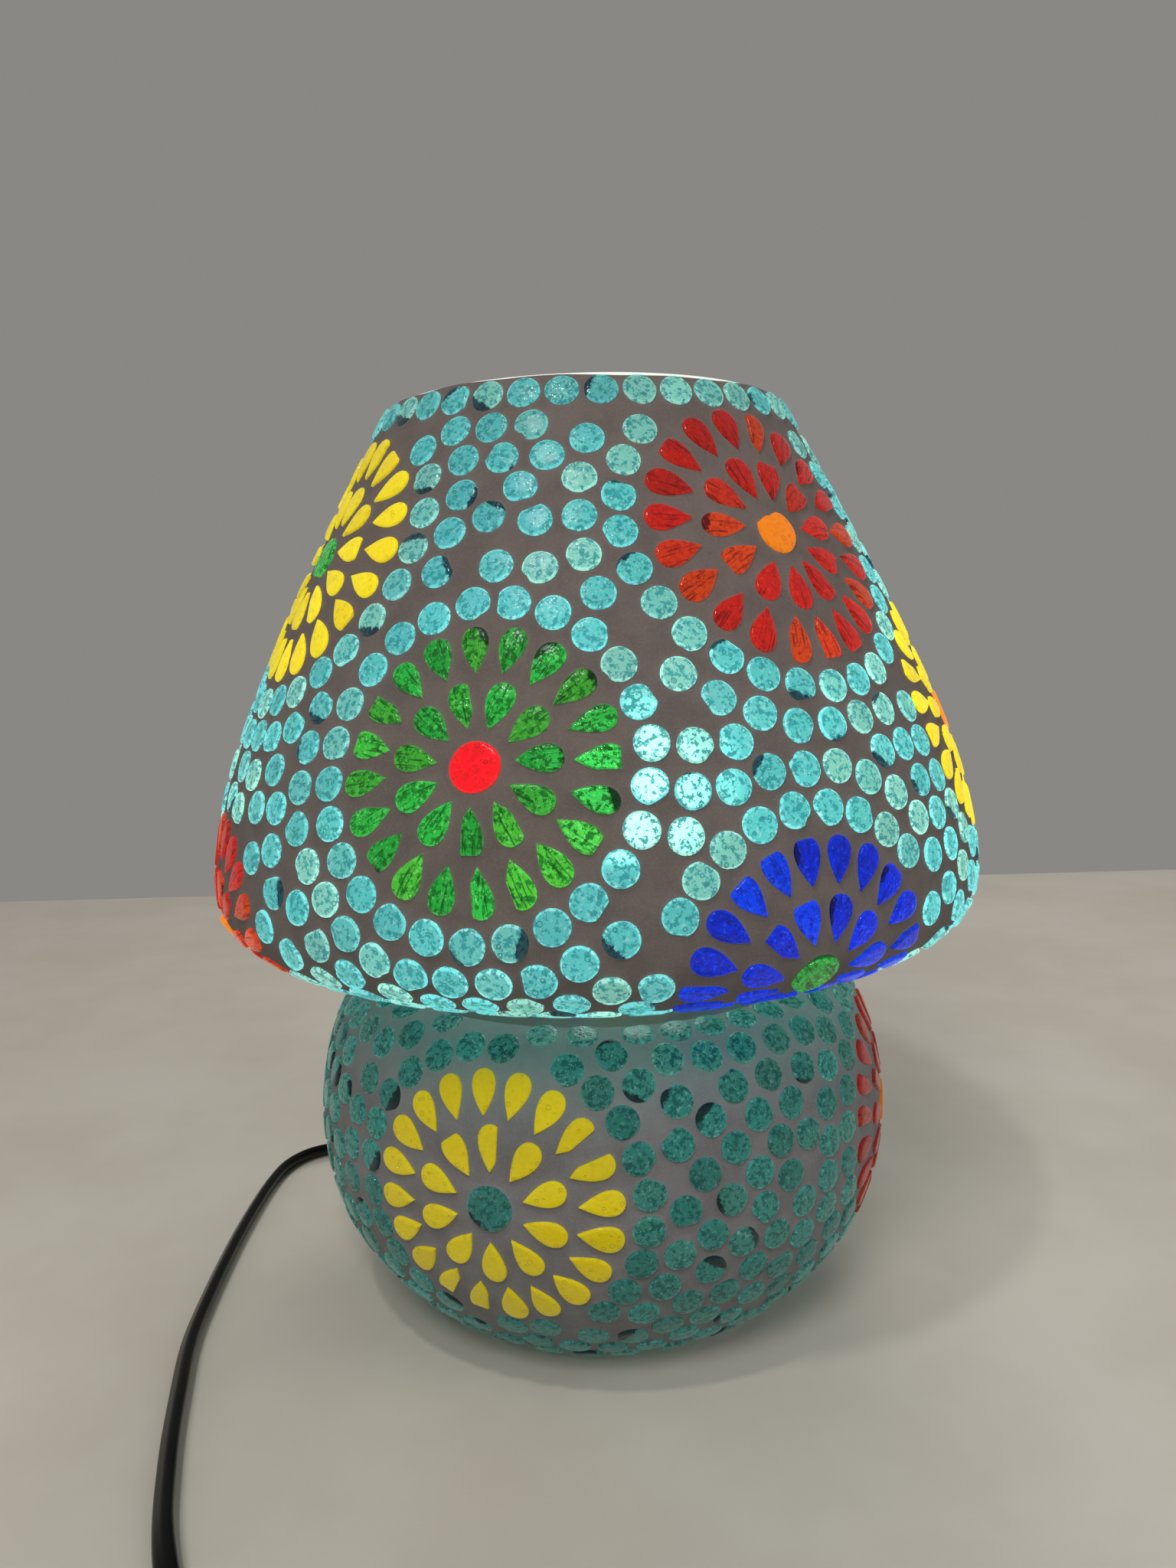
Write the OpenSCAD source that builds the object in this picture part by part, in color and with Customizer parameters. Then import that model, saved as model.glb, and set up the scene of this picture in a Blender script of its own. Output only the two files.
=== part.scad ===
/* [Vessel] */
// Height of the lamp, from the table to the rim of the shade
lamp_height = 240; // [225:5:260]
// Outside radius of the shade's open rim
rim_r = 51.5; // [46:0.5:58]
// Outside radius of the shade at its widest
shade_r = 100.5; // [93:0.5:107]
// Height of the shade's widest ring
shade_z = 115; // [110:1:120]
// Outside radius of the base at its widest
base_r = 77.5; // [72:0.5:82]
// Radius of the flat the lamp stands on
foot_r = 45; // [40:1:50]
// Thickness of the blown glass
glass_t = 2.4; // [2:0.2:3]
// Thickness of the grout bed on the glass
grout_t = 1.2; // [1:0.1:1.5]

/* [Mosaic] */
// Radius of a round glass chip
dot_r = 3.9; // [3.4:0.1:4]
// Smallest distance between the centres of two round chips
dot_pitch = 8.2; // [8.2:0.05:9]
// Thickness of a glass chip
chip_t = 2; // [1.8:0.1:2.2]
// How far a glass chip stands out of the grout
chip_proud = 0.9; // [0.8:0.05:1]
// Petals in the outer ring of a flower
outer_petals = 20; // [18:1:20]
// Petals in the inner ring of a flower
inner_petals = 11; // [9:1:11]
// Radius of the round chip at the middle of a flower
eye_r = 5.5; // [4.5:0.1:6]

/* [Bulb and holder] */
// How far the holder stands to the right of the lamp's axis
bulb_shift = 10; // [0:1:11]
// Height of the bulb's tip contact
bulb_tip_z = 80; // [78:0.5:83]
// Radius of the bulb's diffuser
bulb_r = 22.5; // [20:0.5:22.5]
// Outside radius of the lamp holder
holder_r = 14; // [13.5:0.5:15]

/* [Flex and switch] */
// Width of the flat two-core flex
flex_w = 5.4; // [5.2:0.1:5.6]
// Thickness of the flat two-core flex
flex_t = 3.2; // [3:0.1:3.4]
// Length of the in-line switch
switch_l = 62; // [58:1:64]
// Rocker's tilt to each side of level
rocker_tilt = 8; // [6:0.5:9]

/* [Hidden] */
$fn = 64;

// ---- profile of the vessel ----
neck_r = 37.5;
neck_z = 94;
shade_rise = lamp_height - shade_z;
shade_flare = shade_r - rim_r;
knots = [
    [rim_r, lamp_height],
    [rim_r + 0.34 * shade_flare, lamp_height - 0.25 * shade_rise],
    [rim_r + 0.66 * shade_flare, lamp_height - 0.5 * shade_rise],
    [rim_r + 0.94 * shade_flare, lamp_height - 0.78 * shade_rise],
    [shade_r, shade_z],
    [0.93 * shade_r, shade_z - 8.5],
    [0.77 * shade_r, shade_z - 14.5],
    [neck_r + 18, neck_z + 4.2],
    [neck_r + 3.5, neck_z + 2.6],
    [neck_r, neck_z],
    [neck_r + 3.5, neck_z - 2.6],
    [neck_r + 17, neck_z - 3.6],
    [0.86 * base_r, neck_z - 6.5],
    [0.955 * base_r, 75],
    [base_r, 51],
    [0.94 * base_r, 29],
    [0.8 * base_r, 13],
    [foot_r + 5, 2.5],
    [foot_r, 0]
];
knot_steps = 4;

function chord(a, b) = pow(norm(b - a), 0.5);
function blend(a, b, t, ta, tb) = a + (b - a) * ((t - ta) / (tb - ta));

// one point of a centripetal spline between the knots b and c
function spline_point(a, b, c, d, u) =
    let (
        tb = chord(a, b),
        tc = tb + chord(b, c),
        td = tc + chord(c, d),
        t = tb + (tc - tb) * u,
        ab = blend(a, b, t, 0, tb),
        bc = blend(b, c, t, tb, tc),
        cd = blend(c, d, t, tc, td)
    )
    blend(blend(ab, bc, t, 0, tc), blend(bc, cd, t, tb, td), t, tb, tc);

function spline(p, steps) =
    let (
        last = len(p) - 1,
        q = concat([2 * p[0] - p[1]], p, [2 * p[last] - p[last - 1]])
    )
    [for (i = [0:last - 1], k = [0:steps - 1])
        spline_point(q[i], q[i + 1], q[i + 2], q[i + 3], k / steps),
     p[last]];

profile = spline(knots, knot_steps);
profile_last = len(profile) - 1;

// direction of the profile at point i, downwards
function heading(i) =
    let (d = profile[min(i + 1, profile_last)] - profile[max(i - 1, 0)])
    d / norm(d);

// the profile moved inwards by d, which keeps the rim and the foot level
function inset(i, d) =
    let (h = heading(i), p = profile[i] + d * [h[1], -h[0]])
    i == 0 || i == profile_last ? profile[i] - [d, 0] : p;

function inset_line(d, first, last) = [for (i = [first:last]) inset(i, d)];
function flipped(list) = [for (i = [len(list) - 1:-1:0]) list[i]];

// running length down the profile
function lengths(i = 0, sum = 0, out = []) =
    i > profile_last ? out :
    lengths(i + 1, i == profile_last ? 0 : sum + norm(profile[i + 1] - profile[i]),
        concat(out, [sum]));
arc = lengths();
r_at = [for (i = [0:profile_last]) [arc[i], profile[i][0]]];
z_at = [for (i = [0:profile_last]) [arc[i], profile[i][1]]];
// slope of the profile: the angle of its outward normal above the horizontal
lean_at = [for (i = [0:profile_last]) [arc[i], atan2(heading(i)[0], -heading(i)[1])]];

// length down the profile to height z, on the part between the points first and last
function arc_of(z, first, last) =
    lookup(-z, [for (i = [first:last]) [-profile[i][1], arc[i]]]);

shade_widest = 4 * knot_steps;
shade_end = 6 * knot_steps + 2;
base_start = 11 * knot_steps + 1;
base_widest = 14 * knot_steps;
base_end = 17 * knot_steps;
shade_zone = [arc[0], arc[shade_end]];
base_zone = [arc[base_start], arc[base_end]];

// ---- where the flowers sit ----
// each flower: angle round the lamp from the front, length down the profile,
// petal colour, eye colour, petals in the inner ring, size of the whole
function shade_s(z) = arc_of(z, 0, shade_widest + knot_steps);
function base_s(z) = arc_of(z, base_start, base_end);
high = shade_s(203);
middle = shade_s(156);
low = shade_s(110.5);
belly = base_s(53.5);
shade_flowers = [
    [-62, high + 2, "yellow", "green", inner_petals, 1.06],
    [36, high, "red", "orange", inner_petals, 1.06],
    [126, high, "green", "red", inner_petals, 1.06],
    [-146, high, "blue", "orange", inner_petals, 1.06],
    [-15, middle, "green", "red", inner_petals, 1],
    [75, middle - 4, "yellow", "orange", inner_petals, 1],
    [168, middle, "red", "orange", inner_petals, 1],
    [-105, middle, "blue", "green", inner_petals, 1],
    [27, low, "blue", "green", inner_petals, 1],
    [-67, low, "red", "orange", inner_petals, 1],
    [120, low, "green", "red", inner_petals, 1],
    [-149, low, "yellow", "green", inner_petals, 1]
];
base_flowers = [
    [-20, belly, "yellow", "teal", inner_petals - 1, 1.03],
    [77, belly, "red", "orange", inner_petals, 1],
    [167, belly, "blue", "green", inner_petals, 1],
    [-109, belly + 3, "green", "red", inner_petals, 1]
];
// spacing of the places tried for a chip between the rings
field_step = 1.8;
// chips between the rings push each other apart to about this spacing
ease_gap = 9.6;
ease_steps = 8;
outer_ring_r = 25.4;
inner_ring_r = 13.4;
flower_r = 30.7;
outer_petal = [10.6, 6.4];
inner_petal = [10.4, 6.3];

// ---- hole for the flex, low at the back left of the base ----
hole_turn = -135;
hole_s = base_s(21);
hole_r = 4.6;
grommet_flange_r = 7.2;

// ---- walking over the surface ----
function spot(s, turn) =
    let (r = lookup(s, r_at))
    [r * sin(turn), -r * cos(turn), lookup(s, z_at)];

// follow the straightest line over the surface for the given length; heading 0 is down
function walk(s, turn, way, rest) =
    rest <= 0 ? [s, turn, way] :
    let (
        step = min(rest, 3),
        r = lookup(s, r_at),
        half_way = way - step / 2 * grow(s) / r * sin(way) * 180 / PI,
        half_s = s + step / 2 * cos(way),
        half_r = lookup(half_s, r_at)
    )
    walk(
        s + step * cos(half_way),
        turn + step * sin(half_way) / half_r * 180 / PI,
        way - step * grow(half_s) / half_r * sin(half_way) * 180 / PI,
        rest - step
    );
function grow(s) = (lookup(s + 0.5, r_at) - lookup(s - 0.5, r_at));

// ---- laying the round chips ----
function far_from(p, list, gap) = len([for (q = list) if (norm(p - q) < gap) 1]) == 0;

// chips are taken in order, and one that would crowd an earlier one is left out
function lay(candidates, taken, gap, i = 0, out = []) =
    i >= len(candidates) ? out :
    let (
        c = candidates[i],
        p = spot(c[0], c[1]),
        room = far_from(p, taken, gap)
    )
    lay(candidates, room ? concat(taken, [p]) : taken, gap, i + 1, room ? concat(out, [c]) : out);

// the same, row after row of one length down the profile, looking only at chips near the row
function lay_rows(rows, taken, gap, i = 0, out = []) =
    i >= len(rows) ? out :
    let (
        s = rows[i][0][0],
        level = [lookup(s, r_at), lookup(s, z_at)],
        near = [for (q = taken) if (norm([norm([q[0], q[1]]), q[2]] - level) < gap) q],
        laid = lay(rows[i], near, gap)
    )
    lay_rows(rows, concat(taken, places(laid)), gap, i + 1, concat(out, laid));

function places(chips) = [for (c = chips) spot(c[0], c[1])];

function in_zone(s, zone) = s > zone[0] + dot_r + 0.6 && s < zone[1] - dot_r - 0.4;

// chips that clear every flower and the hole for the flex
function clear_ground(chips, zone, flowers) =
    let (hole = spot(hole_s, hole_turn))
    [for (c = chips)
        let (p = spot(c[0], c[1]))
        if (in_zone(c[0], zone) && clear_of(p, flowers) && norm(p - hole) > grommet_flange_r + dot_r + 0.6) c];

function clear_of(p, flowers) =
    len([for (f = flowers) if (norm(p - spot(f[1], f[0])) < reach(f) + dot_r + 0.1) 1]) == 0;

// straight distance from a flower's middle to the tips of its petals
function reach(f) = flower_r * f[5] - 0.3;

// a level row of chips round the lamp
function row(s, start) =
    let (n = floor(2 * PI * lookup(s, r_at) / (dot_pitch + 0.45)))
    [for (k = [0:n - 1]) [s, start + 360 * k / n]];

// one ring of chips round a flower, each a little out of true
function ring_chips(f, ring, seed) =
    let (
        ring_r = flower_r * f[5] + dot_r + 0.9 + ring * (dot_pitch + 0.3),
        n = floor(2 * PI * ring_r / (dot_pitch + 0.5)),
        wobble = rands(-0.3, 0.3, 2 * n, seed)
    )
    [for (k = [0:n - 1])
        let (w = walk(f[1], f[0], 360 * (k + 0.5 * ring) / n + wobble[k], ring_r + wobble[n + k] + 0.3))
        [w[0], w[1]]];

// the same ring of every flower
function all_rings(flowers, ring, seed) =
    [for (i = [0:len(flowers) - 1]) each ring_chips(flowers[i], ring, seed + 10 * i + ring)];

// close rows of places for the ground between the rings
function field_rows(zone, flowers) =
    [for (s = [zone[0] + dot_r + 1:field_step:zone[1] - dot_r])
        let (
            n = floor(2 * PI * lookup(s, r_at) / (1.25 * field_step)),
            ground = clear_ground([for (k = [0:n - 1]) [s, 360 * (k + 0.37 * s) / n]], zone, flowers)
        )
        if (len(ground) > 0) ground];

// chips nudged away from those that stand too near, several times over
function eased(chips, fixed, near, ground, steps) =
    steps <= 0 ? chips :
    let (all = concat(fixed, places(chips)))
    eased(
        [for (i = [0:len(chips) - 1]) nudged(chips[i], [for (k = near[i]) all[k]], ground)],
        fixed, near, ground, steps - 1
    );

function nudged(c, all, ground) =
    let (
        p = spot(c[0], c[1]),
        pushes = [for (q = all)
            let (d = norm(p - q))
            if (d > 0.01 && d < ease_gap) (p - q) * (ease_gap / d - 1)],
        push = len(pushes) == 0 ? [0, 0, 0] : 0.3 * ([for (q = pushes) 1] * pushes),
        ahead = spot(c[0] + 0.5, c[1]) - spot(c[0] - 0.5, c[1]),
        s = c[0] + push * ahead,
        turn = c[1] + push * [cos(c[1]), sin(c[1]), 0] / lookup(c[0], r_at) * 180 / PI,
        free = clear_ground([[s, turn]], ground[0], ground[1])
    )
    len(free) > 0 ? free[0] : c;

// which places are near enough to each chip to push it
function neighbours(chips, all) =
    [for (c = chips)
        let (p = spot(c[0], c[1]))
        [for (k = [0:len(all) - 1]) if (norm(p - all[k]) < 1.6 * ease_gap) k]];

// chips between the rings: laid wherever one fits, eased apart, and topped up where room opens
function loose(chips, fixed, ground, rows, rounds) =
    rounds <= 0 ? chips :
    let (
        more = concat(chips, lay_rows(rows, concat(fixed, places(chips)), dot_pitch)),
        near = neighbours(more, concat(fixed, places(more)))
    )
    loose(lay(eased(more, fixed, near, ground, ease_steps), fixed, dot_pitch), fixed, ground, rows, rounds - 1);

function ring_of(ring, flowers, zone, seed, taken) =
    lay(clear_ground(all_rings(flowers, ring, seed), zone, flowers), taken, dot_pitch);
function all_loose(rings, flowers, zone, seed, edge) =
    let (fixed = concat(edge, places(rings)))
    loose(ring_of(1, flowers, zone, seed, fixed), fixed, [zone, flowers], field_rows(zone, flowers), 3);

rim_row = row(dot_r + 1.4, 4);
function shade_rings() = ring_of(0, shade_flowers, shade_zone, 11, places(rim_row));
function shade_fill(rings) = all_loose(rings, shade_flowers, shade_zone, 11, places(rim_row));
function base_rings() = ring_of(0, base_flowers, base_zone, 311, []);
function base_fill(rings) = all_loose(rings, base_flowers, base_zone, 311, []);

floor_s = arc[shade_widest] + 12;
foot_s = base_s(20);

// ---- placing chips ----
module on_surface(s, turn, spin = 0) {
    translate(spot(s, turn))
        rotate([0, 0, turn - 90])
            rotate([0, 90 - lookup(s, lean_at), 0])
                rotate([0, 0, spin])
                    children();
}

module dot(r) {
    translate([0, 0, chip_proud - chip_t])
        cylinder(r = r, h = chip_t);
}

module dots(chips) {
    color([0.31, 0.78, 0.8])
        for (c = chips)
            on_surface(c[0], c[1])
                dot(dot_r);
}

// a drop shape, its point at the far end of -x
module drop(size) {
    sides = 12;
    translate([0, 0, chip_proud - chip_t])
        linear_extrude(chip_t)
            polygon([for (k = [0:sides - 1])
                let (a = 360 * k / sides + 180)
                [size[0] / 2 * cos(a), size[1] * 0.66 * sin(a) * pow(abs(sin((a - 180) / 2)), 1.1)]]);
}

module petal_ring(f, n, ring_r, size, start) {
    for (k = [0:n - 1]) {
        w = walk(f[1], f[0], start + 360 * k / n, ring_r * f[5]);
        on_surface(w[0], w[1], w[2])
            drop(size * f[5]);
    }
}

module petals(flowers, name, shade) {
    color(shade)
        for (f = flowers)
            if (f[2] == name) {
                petal_ring(f, outer_petals, outer_ring_r, outer_petal, 6);
                petal_ring(f, f[4], inner_ring_r, inner_petal, 0);
            }
}

module eyes(name, shade) {
    color(shade)
        for (f = concat(shade_flowers, base_flowers))
            if (f[3] == name)
                on_surface(f[1], f[0])
                    dot(eye_r);
}

// ---- glass and grout ----
module flex_hole(r, length) {
    on_surface(hole_s, hole_turn)
        translate([0, 0, -length / 2])
            cylinder(r = r, h = length);
}

module skin(first, last) {
    rotate_extrude($fn = 128)
        polygon(concat(inset_line(0, first, last), flipped(inset_line(grout_t, first, last))));
}

module glass_body() {
    inner = [for (p = inset_line(grout_t + glass_t, 0, profile_last)) if (p[1] > glass_t + 0.5) p];
    inner_foot = [inner[len(inner) - 1][0], glass_t];
    color([0.75, 0.88, 0.88, 0.35])
        difference() {
            rotate_extrude($fn = 128)
                polygon(concat(
                    inset_line(grout_t, 0, profile_last),
                    [[0, 0], [0, glass_t], inner_foot],
                    flipped(inner)
                ));
            flex_hole(hole_r, 24);
        }
}

module shade_grout() {
    color([0.43, 0.37, 0.38])
        skin(0, shade_end);
}

module base_grout() {
    color([0.58, 0.55, 0.59])
        difference() {
            skin(base_start, base_end);
            flex_hole(hole_r, 24);
        }
}

module rim_beads() {
    dots(rim_row);
}

module shade_ring_beads() {
    dots([for (c = shade_rings()) if (c[0] < floor_s) c]);
}

module shade_field_beads() {
    dots([for (c = shade_fill(shade_rings())) if (c[0] < floor_s) c]);
}

module shade_floor_beads() {
    rings = shade_rings();
    dots([for (c = concat(rings, shade_fill(rings))) if (c[0] >= floor_s) c]);
}

module base_ring_beads() {
    dots([for (c = base_rings()) if (c[0] < foot_s) c]);
}

module base_field_beads() {
    dots([for (c = base_fill(base_rings())) if (c[0] < foot_s) c]);
}

module base_floor_beads() {
    rings = base_rings();
    dots([for (c = concat(rings, base_fill(rings))) if (c[0] >= foot_s) c]);
}

module shade_green_petals() {
    petals(shade_flowers, "green", [0.12, 0.6, 0.2]);
}

module shade_red_petals() {
    petals(shade_flowers, "red", [0.85, 0.1, 0.06]);
}

module shade_yellow_petals() {
    petals(shade_flowers, "yellow", [0.95, 0.84, 0.05]);
}

module shade_blue_petals() {
    petals(shade_flowers, "blue", [0.02, 0.12, 0.85]);
}

module base_yellow_petals() {
    petals(base_flowers, "yellow", [0.9, 0.78, 0.05]);
}

module base_red_petals() {
    petals(base_flowers, "red", [0.6, 0.08, 0.08]);
}

module base_green_petals() {
    petals(base_flowers, "green", [0.08, 0.45, 0.15]);
}

module base_blue_petals() {
    petals(base_flowers, "blue", [0.03, 0.1, 0.6]);
}

module red_eyes() {
    eyes("red", [0.95, 0.1, 0.08]);
}

module orange_eyes() {
    eyes("orange", [1, 0.5, 0.02]);
}

module green_eyes() {
    eyes("green", [0.1, 0.45, 0.12]);
}

module teal_eyes() {
    eyes("teal", [0.2, 0.55, 0.5]);
}

// ---- clip, holder and bulb, on an upright axis beside the lamp's own ----
plate_z = 54;
plate_t = 1;
nipple_r = 5;
nipple_bore = 3.6;
thread_pitch = 1;
nut_r = 7.5;
nut_h = 3.5;
arm_w = 8;
arms = 3;
holder_floor_z = 66;
holder_top_z = 100;
cap_r = 6.95;
shell_bore = 7.25;
shell_wall = 0.4;
cap_top_z = bulb_tip_z + 19;
collar_top_z = bulb_tip_z + 41;
bulb_z = bulb_tip_z + 56;

module upright() {
    translate([bulb_shift, 0, 0])
        children();
}

// an outline turned about the upright axis
module turned(points) {
    rotate_extrude()
        polygon(points);
}

module tube(inner, outer, from, to) {
    turned([[inner, from], [outer, from], [outer, to], [inner, to]]);
}

// a ridged line between two heights, for a rolled thread
function ridges(crest, root, from, to, pitch) =
    let (n = round((to - from) / pitch))
    [for (k = [0:2 * n]) [k % 2 == 0 ? root : crest, from + (to - from) * k / (2 * n)]];

// distance from the holder's axis to the neck, for an arm at the given turn
function arm_reach(turn, r) =
    -bulb_shift * cos(turn) + sqrt(r * r - pow(bulb_shift * sin(turn), 2));

// the bent line of an arm, seen from its side
function arm_line(turn) =
    let (
        throat = arm_reach(turn, neck_r - grout_t - glass_t - 1.6),
        lip = arm_reach(turn, neck_r + 6)
    )
    [[11, plate_z], [16, plate_z + 1], [throat - 1.5, neck_z - 10], [throat, neck_z], [throat, neck_z + 7.5],
     [lip, neck_z + 8]];

module strip(line, thick) {
    last = len(line) - 1;
    side = function(i) let (d = line[min(i + 1, last)] - line[max(i - 1, 0)]) thick * [-d[1], d[0]] / norm(d);
    translate([0, arm_w / 2, 0])
        rotate([90, 0, 0])
            linear_extrude(arm_w)
                polygon(concat(line, [for (i = [last:-1:0]) line[i] + side(i)]));
}

module clip_bracket() {
    color([0.78, 0.78, 0.8])
        upright() {
            difference() {
                union() {
                    translate([0, 0, plate_z])
                        cylinder(r = 13, h = plate_t);
                    for (k = [0:arms - 1])
                        rotate([0, 0, 60 + k * 360 / arms])
                            strip(arm_line(60 + k * 360 / arms), plate_t);
                }
                translate([0, 0, plate_z - 5])
                    cylinder(r = nipple_r + 0.1, h = 20);
            }
        }
}

module thread_nipple() {
    bottom = plate_z - nut_h - 4;
    top = holder_floor_z - 3;
    color([0.8, 0.68, 0.35])
        upright()
            turned(concat([[nipple_bore, bottom]],
                ridges(nipple_r, nipple_r - 0.35, bottom, top, thread_pitch), [[nipple_bore, top]]));
}

module hex_nut(z) {
    color([0.8, 0.68, 0.35])
        upright()
            translate([0, 0, z])
                difference() {
                    cylinder(r = nut_r, h = nut_h, $fn = 6);
                    translate([0, 0, -1])
                        cylinder(r = nipple_r, h = nut_h + 2);
                }
}

module lower_nut() {
    hex_nut(plate_z - nut_h);
}

module upper_nut() {
    hex_nut(plate_z + plate_t);
}

// the cap screws up into the skirt; the nipple enters its floor
module holder_cap() {
    neck = plate_z + plate_t + nut_h;
    wall = 1.8;
    color([0.9, 0.88, 0.82])
        upright()
            turned([
                [nipple_r, neck], [9, neck], [9, neck + 2.5], [holder_r - 1.5, neck + 6],
                [holder_r, neck + 9], [holder_r, holder_floor_z + 12],
                [holder_r - wall, holder_floor_z + 12], [holder_r - wall, neck + 9.5],
                [holder_r - wall - 1.5, neck + 7.5], [8, neck + 4.5], [nipple_r, neck + 4.5]
            ]);
}

module holder_skirt() {
    wall = 1.8;
    low = holder_floor_z + 12;
    color([0.9, 0.88, 0.82])
        upright()
            turned([
                [holder_r - wall - 1.6, low - 7], [holder_r - wall, low - 7], [holder_r - wall, low],
                [holder_r, low], [holder_r, holder_top_z - 4], [holder_r + 1.5, holder_top_z - 3.5],
                [holder_r + 1.5, holder_top_z], [shell_bore + shell_wall + 0.8, holder_top_z],
                [shell_bore + shell_wall + 0.8, holder_top_z - 2.2],
                [holder_r - wall - 0.4, holder_top_z - 5], [holder_r - wall - 1.6, low]
            ]);
}

module holder_insulator() {
    color([0.95, 0.95, 0.93])
        upright()
            difference() {
                translate([0, 0, holder_floor_z + 5.2])
                    cylinder(r = holder_r - 3.6, h = 6.3);
                for (side = [-1, 1])
                    translate([side * 6.5, 0, holder_floor_z])
                        cylinder(r = 1.5, h = 9);
                translate([0, 0, holder_floor_z])
                    cylinder(r = 1.6, h = 20);
            }
}

module holder_thread_shell() {
    from = holder_floor_z + 11.5;
    to = holder_top_z - 2.5;
    inner = ridges(shell_bore + 0.5, shell_bore, from + 1, to - 1, 2.8);
    outer = [for (p = flipped(inner)) p + [shell_wall, 0]];
    color([0.82, 0.7, 0.36])
        upright()
            turned(concat(
                [[4.5, from], [4.5, from + shell_wall], [shell_bore, from + shell_wall]],
                inner, [[shell_bore, to], [shell_bore + shell_wall, to]], outer,
                [[shell_bore + shell_wall, from]]
            ));
}

// a springy tongue under the bulb's tip
module holder_centre_contact() {
    z = holder_floor_z + 11.5;
    top = bulb_tip_z - 0.3;
    color([0.85, 0.75, 0.45])
        upright()
            translate([0, 2, 0])
                rotate([90, 0, 0])
                    linear_extrude(4)
                        polygon([
                            [-3, z], [3, z], [3, z + 0.5], [-1.6, z + 0.5], [-1, top - 0.6], [2.4, top - 0.6],
                            [2.4, top], [-1.7, top], [-3, z + 0.5]
                        ]);
}

module terminal_screws() {
    color([0.82, 0.7, 0.36])
        upright()
            for (side = [-1, 1])
                translate([side * 6.5, 0, holder_floor_z + 3.6])
                    difference() {
                        union() {
                            cylinder(r = 1.5, h = 5.4);
                            cylinder(r = 2.4, h = 1.6);
                        }
                        translate([-3, -0.3, -0.5])
                            cube([6, 0.6, 1.1]);
                    }
}

// ---- bulb ----
module bulb_diffuser() {
    wall = 1;
    rise = collar_top_z - bulb_z;
    spread = sqrt(bulb_r * bulb_r - rise * rise);
    start = atan2(rise, spread);
    skin_r = bulb_r - wall;
    inner_start = asin(rise / skin_r);
    color([1, 0.98, 0.92])
        upright()
            translate([0, 0, bulb_z])
                turned(concat(
                    [for (k = [0:16]) let (a = start + (90 - start) * k / 16) bulb_r * [max(cos(a), 0), sin(a)]],
                    [for (k = [16:-1:0])
                        let (a = inner_start + (90 - inner_start) * k / 16) skin_r * [max(cos(a), 0), sin(a)]]
                ));
}

function collar_mouth() = sqrt(pow(bulb_r, 2) - pow(collar_top_z - bulb_z, 2));

module bulb_collar() {
    mouth = collar_mouth();
    wall = 1.4;
    floor_z = cap_top_z + 3;
    color([0.96, 0.96, 0.95])
        upright()
            turned([
                [cap_r - 0.5, cap_top_z - 3], [cap_r + 0.6, cap_top_z], [cap_r + 1.6, floor_z],
                [mouth - 2, collar_top_z - 6], [mouth, collar_top_z], [mouth - wall, collar_top_z],
                [mouth - wall - 2, collar_top_z - 6], [cap_r + 1, floor_z + 1.5], [0, floor_z + 1.5],
                [0, floor_z], [cap_r - 2, floor_z], [cap_r - 2, cap_top_z - 3]
            ]);
}

module led_board() {
    color([0.9, 0.92, 0.9])
        upright()
            translate([0, 0, collar_top_z - 4.5])
                cylinder(r = collar_mouth() - 3.2, h = 1.6);
}

module led_chips() {
    color([1, 0.9, 0.45])
        upright()
            for (k = [0:7])
                rotate([0, 0, 45 * k])
                    translate([9, -1.4, collar_top_z - 2.9])
                        cube([2.8, 2.8, 0.8]);
}

module bulb_screw_cap() {
    from = bulb_tip_z + 4;
    to = cap_top_z - 3;
    wall = 0.35;
    inner = cap_r - wall - 0.6;
    color([0.8, 0.8, 0.78])
        upright()
            turned(concat(
                [[inner, from - 0.6], [inner + 0.5, from - 0.6]],
                ridges(cap_r, cap_r - 0.5, from, to, 2.8),
                [[inner, to]]
            ));
}

module bulb_cap_insulator() {
    color([0.12, 0.12, 0.13])
        upright()
            turned([
                [2.3, bulb_tip_z + 1.4], [3.4, bulb_tip_z + 1.4], [cap_r - 0.95, bulb_tip_z + 3.4],
                [cap_r - 0.95, bulb_tip_z + 6], [2.3, bulb_tip_z + 6]
            ]);
}

module bulb_tip_contact() {
    color([0.72, 0.72, 0.7])
        upright()
            turned([
                [0, bulb_tip_z], [1.4, bulb_tip_z + 0.2], [2.3, bulb_tip_z + 1], [2.3, bulb_tip_z + 4.5],
                [0, bulb_tip_z + 4.5]
            ]);
}

// ---- flat flex: an oval swept along a route ----
flex_sides = 10;
flex_z = flex_t / 2 + 0.1;

// the oval's outline, across and up
function oval(k) =
    let (a = 360 * (k + 0.5) / flex_sides)
    [flex_w / 2 * sign(cos(a)) * pow(abs(cos(a)), 0.8), flex_t / 2 * sin(a)];

function route_dir(p, i) =
    let (d = p[min(i + 1, len(p) - 1)] - p[max(i - 1, 0)])
    d / norm(d);

// a rounded line through the route's points, with a ring every few millimetres
function smooth_route(p, steps) =
    let (
        last = len(p) - 1,
        q = concat([2 * p[0] - p[1]], p, [2 * p[last] - p[last - 1]])
    )
    [for (i = [0:last - 1], k = [0:steps - 1])
        spline_point(q[i], q[i + 1], q[i + 2], q[i + 3], k / steps),
     p[last]];

function across(d) =
    let (c = cross(d, [0, 0, 1]))
    norm(c) < 0.2 ? [0, 1, 0] - d * d[1] : c / norm(c);

function oval_ring(p, i) =
    let (
        d = route_dir(p, i),
        side = across(d) / norm(across(d)),
        up = cross(side, d)
    )
    [for (k = [0:flex_sides - 1]) p[i] + oval(k)[0] * side + oval(k)[1] * up];

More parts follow.
